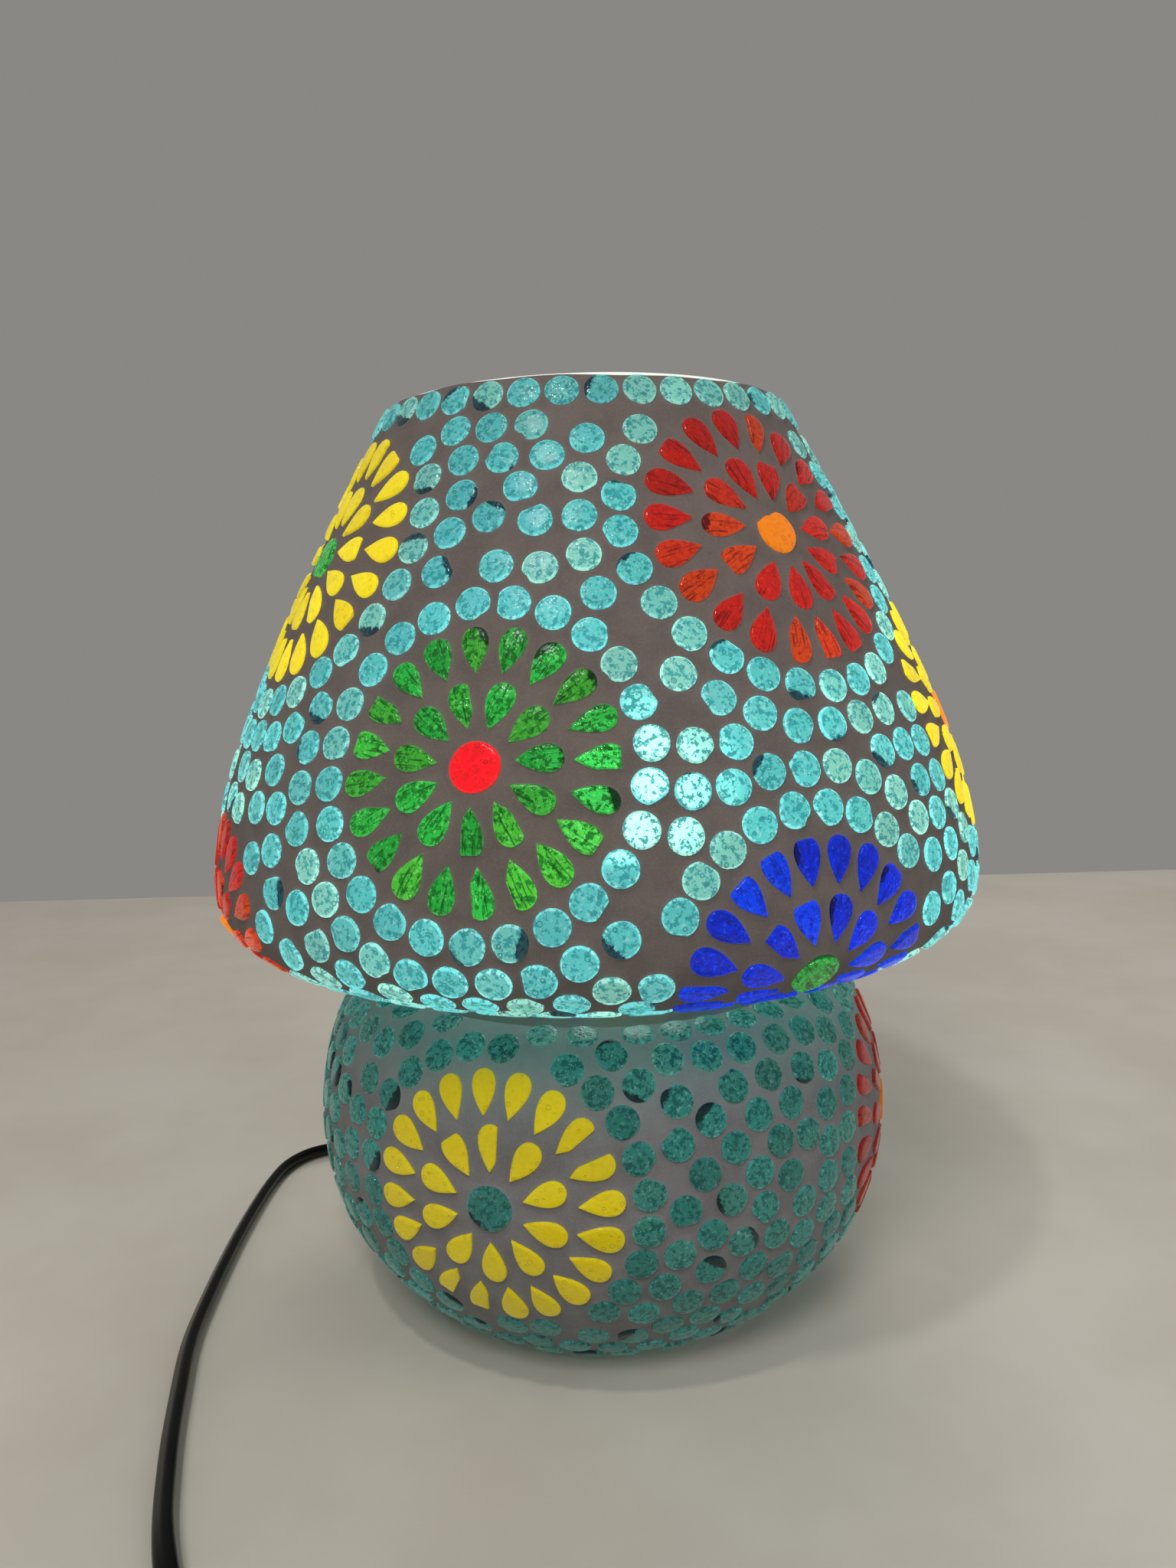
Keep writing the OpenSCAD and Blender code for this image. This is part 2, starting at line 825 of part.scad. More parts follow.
module swept_flex(p) {
    rings = len(p);
    n = flex_sides;
    color([0.04, 0.04, 0.045])
        polyhedron(
            points = [for (i = [0:rings - 1]) each oval_ring(p, i)],
            faces = concat(
                [[for (k = [0:n - 1]) k]],
                [for (i = [0:rings - 2], k = [0:n - 1])
                    [i * n + k, (i + 1) * n + k, (i + 1) * n + (k + 1) % n, i * n + (k + 1) % n]],
                [[for (k = [n - 1:-1:0]) (rings - 1) * n + k]]
            )
        );
}

// ---- the route of the flex ----
hole_spot = spot(hole_s, hole_turn);
hole_out = let (lean = lookup(hole_s, lean_at))
    [sin(hole_turn) * cos(lean), -cos(hole_turn) * cos(lean), sin(lean)];
boot_l = 20;
flex_exit = hole_spot + hole_out * boot_l;
inner_route = [
    [bulb_shift, 0, plate_z - 8],
    [bulb_shift, 0, 38],
    [8, 1, 28],
    [-2, 8, 22],
    [-16, 20, 26],
    hole_spot - hole_out * 12,
    hole_spot - hole_out * 4.5
];

// on the table from the boot to the switch, keeping clear of the base
run_route = [
    flex_exit - hole_out * 1,
    flex_exit + hole_out * 5,
    [-77, 73, 2.2],
    [-86, 75, flex_z],
    [-96, 73, flex_z],
    [-104, 68, flex_z],
    [-109, 60, flex_z],
    [-111, 50, flex_z],
    [-112, 30, flex_z],
    [-112, 10, flex_z],
    [-111, -15, flex_z],
    [-109, -40, flex_z],
    [-105, -60, flex_z],
    [-99, -85, flex_z],
    [-91, -110, flex_z],
    [-79, -132, flex_z],
    [-64, -143, flex_z + 1],
    [-50, -145, flex_z + 2.6],
    [-32, -145, flex_z + 3]
];
switch_at = [-9, -145, 0];
coil_at = [56, -186.5, 0];
coil_inner_r = 19.8;
coil_outer_r = 44.3;
coil_turn_r = coil_outer_r - flex_w / 2;
coil_h = 7;
lead_route = [
    [14, -145, flex_z + 3],
    [32, -145, flex_z + 2.6],
    [43, -145, flex_z + 0.4],
    [coil_at[0], coil_at[1] + coil_turn_r, flex_z]
];
tail_route = [
    [coil_at[0] - coil_turn_r * cos(45), coil_at[1] - coil_turn_r * sin(45), flex_z + 3.4],
    [20, -209, flex_z + 3.6],
    [12, -204, flex_z + 4.2],
    [3, -201, flex_z + 4.9],
    [-9, -200, flex_z + 5.2]
];
plug_at = [-22, -200, 0];

module inner_flex() {
    swept_flex(smooth_route(inner_route, 3));
}

module cord_run() {
    swept_flex(smooth_route(run_route, 2));
}

module cord_lead() {
    swept_flex(smooth_route(lead_route, 2));
}

module cord_tail() {
    swept_flex(smooth_route(tail_route, 2));
}

// the wound length, as the outer shape of its turns
module cord_coil() {
    corner = 1.6;
    color([0.04, 0.04, 0.045])
        translate(coil_at)
            turned([
                [coil_inner_r + corner, 0.1], [coil_outer_r - corner, 0.1], [coil_outer_r, corner],
                [coil_outer_r, coil_h - corner], [coil_outer_r - corner, coil_h],
                [coil_inner_r + corner, coil_h], [coil_inner_r, coil_h - corner], [coil_inner_r, corner]
            ]);
}

// a soft bush in the hole, with a flange outside and a tapered boot on the flex
module cord_grommet() {
    bore = flex_w / 2 + 0.25;
    color([0.06, 0.06, 0.065])
        on_surface(hole_s, hole_turn)
            turned([
                [bore, -4.6], [hole_r + 1.1, -4.6], [hole_r + 0.3, -3.9], [hole_r, -3.75], [hole_r, 0.1],
                [grommet_flange_r, 0.1], [grommet_flange_r, 1.6], [grommet_flange_r - 0.8, 2.4],
                [hole_r + 0.3, 2.8], [hole_r - 0.2, 5], [bore + 0.8, boot_l], [bore, boot_l]
            ]);
}

// the two cores from the flex to the terminals
module core_wires() {
    from = plate_z - 8;
    to = holder_floor_z + 2.6;
    color([0.35, 0.2, 0.12])
        upright()
            for (side = [-1, 1]) {
                translate([side * 1.3, 0, from])
                    cylinder(r = 1, h = to - 4 - from);
                translate([side * 1.3, 0, to - 4])
                    rotate([0, side * 52, 0])
                        cylinder(r = 1, h = 6.4);
            }
}

// ---- in-line switch ----
switch_w = 22;
switch_wall = 1.6;
switch_split = 7;
switch_h = 16;
switch_corner = 7;
rocker_l = 14;
rocker_w = 8;
rocker_gap = 0.35;
rocker_z = 13.4;
rocker_pin_r = 1;
cord_slot_w = flex_w + 0.4;
cord_slot_z = [3, 6.6];

module rounded_slab(l, w, r) {
    square([l - 2 * r, w], center = true);
    square([l, w - 2 * r], center = true);
    for (x = [-1, 1], y = [-1, 1])
        translate([x * (l / 2 - r), y * (w / 2 - r)])
            circle(r = r);
}

module at_switch() {
    translate(switch_at)
        children();
}

module cord_slots() {
    translate([-switch_l, -cord_slot_w / 2, cord_slot_z[0]])
        cube([2 * switch_l, cord_slot_w, switch_split - cord_slot_z[0] + 0.1]);
}

module at_ends(x) {
    for (side = [-1, 1])
        translate([side * x, 0, 0])
            children();
}

module switch_base() {
    color([0.05, 0.05, 0.055])
        at_switch()
            difference() {
                union() {
                    difference() {
                        translate([0, 0, 0.1])
                            linear_extrude(switch_split - 0.1)
                                rounded_slab(switch_l, switch_w, switch_corner);
                        translate([0, 0, switch_wall])
                            linear_extrude(switch_split)
                                rounded_slab(switch_l - 2 * switch_wall, switch_w - 2 * switch_wall,
                                    switch_corner - switch_wall);
                    }
                    at_ends(switch_l / 2 - 8)
                        for (y = [-6.4, 6.4])
                            translate([0, y, 0.1])
                                cylinder(r = 2.2, h = switch_split - 0.1);
                }
                cord_slots();
                at_ends(switch_l / 2 - 8)
                    translate([0, 6.4, -1])
                        cylinder(r = 1.3, h = switch_h);
            }
}

module switch_cover() {
    color([0.05, 0.05, 0.055])
        at_switch()
            difference() {
                union() {
                    difference() {
                        translate([0, 0, switch_split])
                            linear_extrude(switch_h - switch_split - 1.2)
                                rounded_slab(switch_l, switch_w, switch_corner);
                        translate([0, 0, switch_split - 1])
                            linear_extrude(switch_h - switch_split + 1 - switch_wall - 1.2)
                                rounded_slab(switch_l - 2 * switch_wall, switch_w - 2 * switch_wall,
                                    switch_corner - switch_wall);
                    }
                    translate([0, 0, switch_h - 1.2])
                        linear_extrude(1.2)
                            rounded_slab(switch_l - 3, switch_w - 3, switch_corner - 1.5);
                    translate([0, 0, rocker_z - 1.8])
                        linear_extrude(switch_h - rocker_z)
                            square([6, rocker_w + 2 * rocker_gap + 4], center = true);
                }
                translate([0, 0, switch_split])
                    linear_extrude(switch_h)
                        square([rocker_l + 2, rocker_w + 2 * rocker_gap], center = true);
                translate([0, -switch_w / 2 + 3, rocker_z])
                    rotate([-90, 0, 0])
                        cylinder(r = rocker_pin_r, h = switch_w - 6);
            }
}

module switch_rocker() {
    color([0.07, 0.07, 0.075])
        at_switch()
            translate([0, 0, rocker_z])
                rotate([0, rocker_tilt, 0])
                    rotate([90, 0, 0])
                        difference() {
                            translate([0, 0, -rocker_w / 2])
                                linear_extrude(rocker_w)
                                    polygon([
                                        [-rocker_l / 2, -0.6], [-2.4, -1.6], [2.4, -1.6], [rocker_l / 2, -0.6],
                                        [rocker_l / 2, 3.9], [3, 3.2], [0, 3], [-3, 3.2], [-rocker_l / 2, 3.9]
                                    ]);
                            translate([0, 0, -rocker_w])
                                cylinder(r = rocker_pin_r + 0.05, h = 2 * rocker_w);
                        }
}

module rocker_pin() {
    pin_l = rocker_w + 2 * rocker_gap + 3;
    color([0.8, 0.8, 0.8])
        at_switch()
            translate([0, pin_l / 2, rocker_z])
                rotate([90, 0, 0])
                    cylinder(r = rocker_pin_r, h = pin_l);
}

// the fixed strips the rocker bridges, one at each end of the cut core
module switch_contacts() {
    color([0.85, 0.7, 0.35])
        at_switch()
            for (side = [-1, 1])
                translate([side * 3, 0, 0])
                    rotate([90, 0, 0])
                        linear_extrude(4, center = true)
                            polygon([
                                [0, 2], [side * 12, 2], [side * 12, 2.6], [side * 0.6, 2.6],
                                [side * 0.6, 9.4], [0, 9.4]
                            ]);
}

module switch_terminals() {
    color([0.82, 0.7, 0.36])
        at_switch()
            at_ends(12)
                difference() {
                    union() {
                        translate([0, 0, 2.6])
                            cylinder(r = 1.3, h = 3);
                        translate([0, 0, 5.6])
                            cylinder(r = 2.2, h = 1.4);
                    }
                    translate([-3, -0.3, 6.4])
                        cube([6, 0.6, 1]);
                }
}

// screws up through the base into the cover's posts
module switch_screws() {
    color([0.7, 0.7, 0.72])
        at_switch()
            at_ends(switch_l / 2 - 8)
                translate([0, 6.4, 0.3])
                    difference() {
                        cylinder(r = 1.3, h = switch_split + 3);
                        translate([-3, -0.25, -0.1])
                            cube([6, 0.5, 0.7]);
                    }
}

// ---- two-pin plug, lying flat ----
plug_l = 34;
plug_w = 26;
plug_h = 13.6;
pin_r = 2;
pin_root_r = 2.4;
pin_root_l = 8;
pin_l = 19;
pin_gap = 18.6;
plug_grip_w = 13;

module at_plug() {
    translate(plug_at + [0, 0, plug_h / 2 + 0.1])
        rotate([0, 0, 180])
            children();
}

module plug_body() {
    color([0.05, 0.05, 0.055])
        at_plug()
            difference() {
                intersection() {
                    linear_extrude(plug_h, center = true)
                        polygon([
                            [0, -plug_grip_w / 2], [0, plug_grip_w / 2], [9, plug_grip_w / 2 - 0.6],
                            [20, plug_w / 2 - 3], [26, plug_w / 2], [plug_l, plug_w / 2],
                            [plug_l, -plug_w / 2], [26, -plug_w / 2], [20, -plug_w / 2 + 3],
                            [9, -plug_grip_w / 2 + 0.6]
                        ]);
                    rotate([90, 0, 0])
                        linear_extrude(plug_w, center = true)
                            polygon([
                                [0, -4.5], [10, -5.2], [22, -plug_h / 2], [plug_l, -plug_h / 2],
                                [plug_l, plug_h / 2], [22, plug_h / 2], [10, 5.2], [0, 4.5]
                            ]);
                }
                for (y = [-1, 1])
                    translate([plug_l - pin_root_l, y * pin_gap / 2, 0])
                        rotate([0, 90, 0])
                            cylinder(r = pin_root_r, h = 20);
                rotate([0, 90, 0])
                    translate([0, 0, -1])
                        cylinder(r = flex_w / 2 + 0.25, h = 9);
            }
}

module plug_boot() {
    bore = flex_w / 2 + 0.25;
    color([0.06, 0.06, 0.065])
        at_plug()
            rotate([0, -90, 0])
                turned([[bore, 0], [4.4, 0], [4.2, 3], [bore + 0.8, 16], [bore, 16]]);
}

module plug_pins() {
    color([0.85, 0.75, 0.45])
        at_plug()
            for (y = [-1, 1])
                translate([plug_l, y * pin_gap / 2, 0])
                    rotate([0, 90, 0])
                        turned([
                            [0, -pin_root_l], [pin_root_r, -pin_root_l], [pin_root_r, 0], [pin_r, 0],
                            [pin_r, pin_l - 1], [pin_r - 0.8, pin_l], [0, pin_l]
                        ]);
}

glass_body();
shade_grout();
base_grout();
rim_beads();
shade_ring_beads();
shade_field_beads();
shade_floor_beads();
base_ring_beads();
base_field_beads();
base_floor_beads();
shade_green_petals();
shade_red_petals();
shade_yellow_petals();
shade_blue_petals();
base_yellow_petals();
base_red_petals();
base_green_petals();
base_blue_petals();
red_eyes();
orange_eyes();
green_eyes();
teal_eyes();
clip_bracket();
thread_nipple();
lower_nut();
upper_nut();
holder_cap();
holder_skirt();
holder_insulator();
holder_thread_shell();
holder_centre_contact();
terminal_screws();
core_wires();
bulb_diffuser();
bulb_collar();
led_board();
led_chips();
bulb_screw_cap();
bulb_cap_insulator();
bulb_tip_contact();
inner_flex();
cord_grommet();
cord_run();
cord_lead();
cord_coil();
cord_tail();
switch_base();
switch_cover();
switch_rocker();
rocker_pin();
switch_contacts();
switch_terminals();
switch_screws();
plug_body();
plug_boot();
plug_pins();
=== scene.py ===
import math
import random

import bmesh
import bpy
import numpy as np
from mathutils import Matrix, Vector


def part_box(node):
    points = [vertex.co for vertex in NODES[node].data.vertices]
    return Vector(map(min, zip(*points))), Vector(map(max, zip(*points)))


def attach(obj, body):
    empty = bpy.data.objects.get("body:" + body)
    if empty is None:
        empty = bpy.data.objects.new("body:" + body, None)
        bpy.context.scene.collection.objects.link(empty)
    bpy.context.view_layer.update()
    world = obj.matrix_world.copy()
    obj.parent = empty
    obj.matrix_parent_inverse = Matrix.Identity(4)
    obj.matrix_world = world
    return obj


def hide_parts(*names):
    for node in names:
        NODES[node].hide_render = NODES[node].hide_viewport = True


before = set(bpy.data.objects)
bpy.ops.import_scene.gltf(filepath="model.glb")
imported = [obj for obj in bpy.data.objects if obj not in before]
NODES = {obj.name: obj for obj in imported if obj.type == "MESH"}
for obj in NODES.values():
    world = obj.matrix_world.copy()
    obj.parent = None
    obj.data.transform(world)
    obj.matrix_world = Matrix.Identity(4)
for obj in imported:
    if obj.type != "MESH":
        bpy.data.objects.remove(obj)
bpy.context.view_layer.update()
MM = 0.001
view = bpy.context.scene
view.view_settings.view_transform = "Standard"

# ---------------------------------------------------------------- camera
CAMERA_PLACE = (-0.0011, -0.3244, 0.1833)
CAMERA_PITCH = 7.6
CAMERA_ROLL = -1.6
CAMERA_YAW = -0.1
CAMERA_LENS = 27.04


def make_camera():
    pitch, roll, yaw = (math.radians(a) for a in (CAMERA_PITCH, CAMERA_ROLL, CAMERA_YAW))
    forward = Vector((math.sin(yaw) * math.cos(pitch), math.cos(yaw) * math.cos(pitch), -math.sin(pitch)))
    level = Vector((math.cos(yaw), -math.sin(yaw), 0))
    upright = level.cross(forward)
    right = level * math.cos(roll) + upright * math.sin(roll)
    up = upright * math.cos(roll) - level * math.sin(roll)
    data = bpy.data.cameras.new("camera")
    data.lens = CAMERA_LENS
    data.clip_start = 0.01
    camera = bpy.data.objects.new("camera", data)
    turned = Matrix((right, up, -forward)).transposed().to_4x4()
    camera.matrix_world = Matrix.Translation(CAMERA_PLACE) @ turned
    view.collection.objects.link(camera)
    view.camera = camera


make_camera()


# ---------------------------------------------------------------- mesh helpers
def add_mesh(name, points, faces, smooth=True):
    mesh = bpy.data.meshes.new(name)
    mesh.from_pydata([tuple(p) for p in points], [], [tuple(f) for f in faces])
    mesh.validate()
    mesh.update()
    if smooth:
        mesh.polygons.foreach_set("use_smooth", [True] * len(mesh.polygons))
    piece = bpy.data.objects.new(name, mesh)
    view.collection.objects.link(piece)
    return piece


def point_attribute(piece, name, values):
    values = np.asarray(values, dtype=np.float32)
    kind = "FLOAT" if values.ndim == 1 else "FLOAT_VECTOR"
    layer = piece.data.attributes.new(name, kind, "POINT")
    layer.data.foreach_set("value" if kind == "FLOAT" else "vector", values.ravel())


def spline_point(a, b, c, d, u):
    """A point of a centripetal spline between b and c."""
    tb = np.linalg.norm(b - a) ** 0.5
    tc = tb + np.linalg.norm(c - b) ** 0.5
    td = tc + np.linalg.norm(d - c) ** 0.5
    t = tb + (tc - tb) * u
    ab = a + (b - a) * (t / tb)
    bc = b + (c - b) * ((t - tb) / (tc - tb))
    cd = c + (d - c) * ((t - tc) / (td - tc))
    low = ab + (bc - ab) * (t / tc)
    high = bc + (cd - bc) * ((t - tb) / (td - tb))
    return low + (high - low) * ((t - tb) / (tc - tb))


def smooth_route(points, steps):
    points = [np.array(p, float) for p in points]
    ends = [2 * points[0] - points[1]] + points + [2 * points[-1] - points[-2]]
    out = [
        spline_point(*ends[i : i + 4], k / steps)
        for i in range(len(points) - 1)
        for k in range(steps)
    ]
    return out + [points[-1]]


def resampled(line, step):
    line = np.array(line)
    along = np.r_[0, np.cumsum(np.linalg.norm(np.diff(line, axis=0), axis=1))]
    count = max(2, round(along[-1] / step))
    at = np.linspace(0, along[-1], count + 1)
    return np.stack([np.interp(at, along, line[:, k]) for k in range(line.shape[1])], -1)


# ---------------------------------------------------------------- shader helpers
class Shader:
    """Builds one material's node tree."""

    def __init__(self, name):
        self.material = bpy.data.materials.new(name)
        self.material.use_nodes = True
        self.tree = self.material.node_tree
        self.tree.nodes.clear()
        self.output = self.tree.nodes.new("ShaderNodeOutputMaterial")

    def plug(self, value, socket):
        if isinstance(value, bpy.types.NodeSocket):
            self.tree.links.new(value, socket)
        elif value is not None:
            if socket.type == "RGBA" and len(value) == 3:
                value = (*value, 1.0)
            socket.default_value = value

    def node(self, kind, out=0, inputs=(), **settings):
        node = self.tree.nodes.new(kind)
        for key, value in settings.items():
            setattr(node, key, value)
        for key, value in dict(inputs).items():
            self.plug(value, node.inputs[key])
        return node.outputs[out]

    def attribute(self, name, out="Vector"):
        return self.node("ShaderNodeAttribute", out, attribute_name=name)

    def math(self, operation, a, b=None, clamp=False):
        return self.node("ShaderNodeMath", 0, {0: a, 1: b}, operation=operation, use_clamp=clamp)

    def vector(self, operation, a, b):
        return self.node("ShaderNodeVectorMath", 0, {0: a, 1: b}, operation=operation)

    def scaled(self, vector, factor):
        return self.node("ShaderNodeVectorMath", 0, {0: vector, "Scale": factor}, operation="SCALE")

    def noise(self, where, scale, detail=3.0, rough=0.5):
        inputs = {"Vector": where, "Scale": scale, "Detail": detail, "Roughness": rough}
        return self.node("ShaderNodeTexNoise", "Fac", inputs)

    def cells(self, where, scale, out="Distance"):
        return self.node("ShaderNodeTexVoronoi", out, {"Vector": where, "Scale": scale})

    def step(self, value, low, high, to_low=0.0, to_high=1.0):
        return self.node(
            "ShaderNodeMapRange",
            0,
            {"Value": value, "From Min": low, "From Max": high, "To Min": to_low, "To Max": to_high},
            interpolation_type="SMOOTHSTEP",
        )

    def mix(self, factor, a, b):
        node = self.tree.nodes.new("ShaderNodeMix")
        node.data_type = "RGBA"
        self.plug(factor, node.inputs[0])
        self.plug(a, node.inputs[6])
        self.plug(b, node.inputs[7])
        return node.outputs[2]

    def split(self, vector):
        node = self.tree.nodes.new("ShaderNodeSeparateXYZ")
        self.plug(vector, node.inputs[0])
        return node.outputs

    def bump(self, height, distance, strength):
        return self.node("ShaderNodeBump", 0, {"Height": height, "Distance": distance, "Strength": strength})

    def principled(self, **inputs):
        node = self.tree.nodes.new("ShaderNodeBsdfPrincipled")
        for key, value in inputs.items():
            self.plug(value, node.inputs[key.replace("_", " ")])
        return node.outputs[0]

    def finish(self, surface):
        self.tree.links.new(surface, self.output.inputs[0])
        return self.material


def place_mm(shader):
    """The point in the object's own frame, in millimetres."""
    return shader.scaled(shader.node("ShaderNodeTexCoord", "Object"), 1000.0)


# ---------------------------------------------------------------- what CAD nodes give
def node_points(name):
    mesh = NODES[name].data
    points = np.empty(len(mesh.vertices) * 3)
    mesh.vertices.foreach_get("co", points)
    return points.reshape(-1, 3)


def loose_parts(name):
    """The points of each separate solid of a CAD node."""
    mesh = NODES[name].data
    points = node_points(name)
    rounded = np.round(points, 6)
    unique, same = np.unique(rounded, axis=0, return_inverse=True)
    same = same.ravel()
    edges = np.empty(len(mesh.edges) * 2, dtype=np.int64)
    mesh.edges.foreach_get("vertices", edges)
    edges = same[edges].reshape(-1, 2)
    label = np.arange(len(unique))
    while True:
        low = np.minimum(label[edges[:, 0]], label[edges[:, 1]])
        before = label.copy()
        np.minimum.at(label, edges[:, 0], low)
        np.minimum.at(label, edges[:, 1], low)
        label = label[label]
        if (label == before).all():
            break
    order = np.argsort(label, kind="stable")
    cuts = np.flatnonzero(np.diff(label[order])) + 1
    return [unique[part] for part in np.split(order, cuts)]


bulb_low, bulb_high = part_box("bulb_diffuser")
BULB_R = (bulb_high.x - bulb_low.x) / 2
BULB = np.array(((bulb_low.x + bulb_high.x) / 2, 0, bulb_high.z - BULB_R))
SHADE_CENTRE = np.array([0, 0, 0.150])
BASE_CENTRE = np.array([0, 0, 0.050])
WAIST_Z = 0.094
PROFILE_STEP = 1.2 * MM


def outer_line(name, centre_z):
    """The outside profile of a turned CAD node, as radius and height from the top down."""
    mesh = NODES[name].data
    points = node_points(name)
    rz = np.c_[np.hypot(points[:, 0], points[:, 1]), points[:, 2]]
    keep = set()
    for face in mesh.polygons:
        flat_end = abs(face.normal.z) > 0.999
        if face.area < 1e-9 or face.center.y > 0 or flat_end:
            continue
        corners = rz[list(face.vertices)]
        around = Vector((face.center.x, face.center.y, 0)).normalized()
        tilt = face.normal.dot(around), face.normal.z
        side_of_a_hole = abs(face.normal.cross(around).z) > 0.3
        if side_of_a_hole:
            continue
        if np.dot(tilt, corners.mean(0) - (0, centre_z)) > 0:
            keep.update((round(r, 5), round(z, 5)) for r, z in corners)
    line = sorted(keep, key=lambda p: -math.atan2(p[1] - centre_z, p[0]))
    thin = [line[0]]
    for p in line[1:]:
        if math.dist(p, thin[-1]) > PROFILE_STEP:
            thin.append(p)
    return np.array(thin)


# ---------------------------------------------------------------- the flex
FLEX_W = 5.4
FLEX_T = 3.2
COIL_AT = (56.0, -186.5)
COIL_OUT_R = 41.6
COIL_PITCH = 5.7
COIL_TURNS = 3.3125
LAYER_Z = 1.7, 5.1
CLIMB = 0.14
RING_STEP = 1.6
SMOOTHINGS = 6
FLEX_ROLL = 50
ROLL_EASE = 45 * MM
ROLLED_STRETCH = 10 * MM, 270 * MM


def coil_points():
    """Two flat layers of turns, wound inwards below and back outwards on top, in millimetres."""
    points = []
    steps = round(COIL_TURNS * 120)
    for layer in (0, 1):
        for k in range(steps + (layer == 1)):
            u = k / steps
            inward = u if layer == 0 else 1 - u
            r = COIL_OUT_R - COIL_PITCH * COIL_TURNS * inward
            turn = math.radians(90 - 360 * COIL_TURNS * (u + layer))
            climb = min(max((u + layer - 1) / CLIMB + 0.5, 0), 1)
            z = LAYER_Z[0] + (LAYER_Z[1] - LAYER_Z[0]) * climb * climb * (3 - 2 * climb)
            points.append((COIL_AT[0] + r * math.cos(turn), COIL_AT[1] + r * math.sin(turn), z))
    return points


grommet_points = node_points("cord_grommet")
hole_axis = np.linalg.svd(grommet_points - grommet_points.mean(0), full_matrices=False)[2][0]
hole_axis = hole_axis * np.sign(hole_axis @ (grommet_points.mean(0) * (1, 1, 0)))
along_hole = grommet_points @ hole_axis
boot_end = grommet_points[along_hole > along_hole.max() - 0.0002].mean(0)
BOOT_L = 20 * MM
hole_at = boot_end - hole_axis * BOOT_L


def flex_route():
    """The line of the free flex from the boot, by way of the switch and the coil, to the plug."""
    start = boot_end / MM
    z = FLEX_T / 2 + 0.1
    run = [start - hole_axis, start + 5 * hole_axis, (-77, 73, 2.2)]
    run += [(-86, 75, z), (-96, 73, z), (-104, 68, z), (-109, 60, z), (-111, 50, z), (-112, 30, z)]
    run += [(-112, 10, z), (-111, -15, z), (-109, -40, z), (-105, -60, z), (-99, -85, z)]
    run += [(-91, -110, z), (-79, -132, z)]
    run += [(-64, -143, z + 1), (-50, -145, z + 2.6), (-32, -145, z + 3)]
    run += [(-9, -145, z + 3), (14, -145, z + 3), (32, -145, z + 2.6), (43, -145, z + 0.4)]
    coil = coil_points()
    tail = [(20, -209, z + 3.6), (12, -204, z + 4.2), (3, -201, z + 4.9), (-9, -200, z + 5.2)]
    tail += [(-24, -200, z + 5.2)]
    line = smooth_route(run + [coil[0]], 16) + coil[1:-1] + smooth_route([coil[-1]] + tail, 16)
    line = resampled(line, RING_STEP)
    for _ in range(SMOOTHINGS):
        line[1:-1] = (line[:-2] + 2 * line[1:-1] + line[2:]) / 4
    return line * MM


def flex_outline(sides=22):
    """Two cores side by side in one sheath: a flat oval with a groove along its middle."""
    points = []
    for k in range(sides):
        a = 2 * math.pi * k / sides
        x = FLEX_W / 2 * math.copysign(abs(math.cos(a)) ** 0.8, math.cos(a))
        y = FLEX_T / 2 * math.copysign(abs(math.sin(a)) ** 0.85, math.sin(a))
        groove = 1 - 0.22 * math.exp(-((x / 0.55) ** 2))
        points.append((x * MM, y * groove * MM))
    return points


def swept(name, line, outline, rolled=None):
    """A solid of one outline carried along a line, its flat side kept level but for one rolled stretch."""
    points, faces, along = [], [], []
    n = len(outline)
    slope = np.gradient(line, axis=0)
    slope /= np.linalg.norm(slope, axis=1)[:, None]
    level = np.cross(slope, (0, 0, 1))
    level /= np.linalg.norm(level, axis=1)[:, None]
    run = np.r_[0, np.cumsum(np.linalg.norm(np.diff(line, axis=0), axis=1))]
    roll = np.zeros(len(line))
    if rolled:
        ease = np.clip((run - rolled[0]) / ROLL_EASE, 0, 1) * np.clip((rolled[1] - run) / ROLL_EASE, 0, 1)
        roll = math.radians(FLEX_ROLL) * ease * ease * (3 - 2 * ease)
    wide, high = np.array(outline).T[:, :, None]
    # a rolled outline reaches lower, so it is lifted back to the height of the flat one
    lift = (wide * np.sin(roll) - high * np.cos(roll)).max(0) - high.max()
    for at, side, way, far, turn, rise in zip(line, level, slope, run, roll, lift):
        upright = np.cross(side, way)
        side, upright = (
            math.cos(turn) * side - math.sin(turn) * upright,
            math.cos(turn) * upright + math.sin(turn) * side,
        )
        at = at + np.array((0, 0, rise))
        for x, y in outline:
            points.append(at + x * side + y * upright)
            along.append((far * 1000, x * 1000, y * 1000))
    for i in range(len(line) - 1):
        for k in range(n):
            a, b = i * n + k, i * n + (k + 1) % n
            faces.append((a, b, b + n, a + n))
    faces.append(tuple(range(n))[::-1])
    faces.append(tuple((len(line) - 1) * n + k for k in range(n)))
    piece = add_mesh(name, points, faces)
    point_attribute(piece, "along", along)
    return piece


def flex_material():
    s = Shader("flex_black")
    along = s.attribute("along")
    where = s.vector("MULTIPLY", along, (0.25, 1.0, 1.0))
    fine = s.noise(where, 5.0, 3.0, 0.6)
    dust = s.step(s.noise(along, 0.8, 4.0, 0.7), 0.60, 0.75)
    patch = s.step(s.noise(along, 0.05, 3.0, 0.6), 0.35, 0.65)
    colour = s.mix(patch, (0.003, 0.003, 0.003), (0.006, 0.006, 0.006))
    colour = s.mix(s.math("MULTIPLY", dust, 0.22), colour, (0.022, 0.021, 0.020))
    height = s.math("ADD", fine, s.math("MULTIPLY", s.noise(along, 0.35, 2.0, 0.5), 0.8))
    return s.finish(
        s.principled(
            Base_Color=colour,
            Roughness=s.math("ADD", 0.16, s.math("MULTIPLY", fine, 0.16)),
            IOR=1.22,
            Normal=s.bump(height, 0.00006, 0.6),
        )
    )


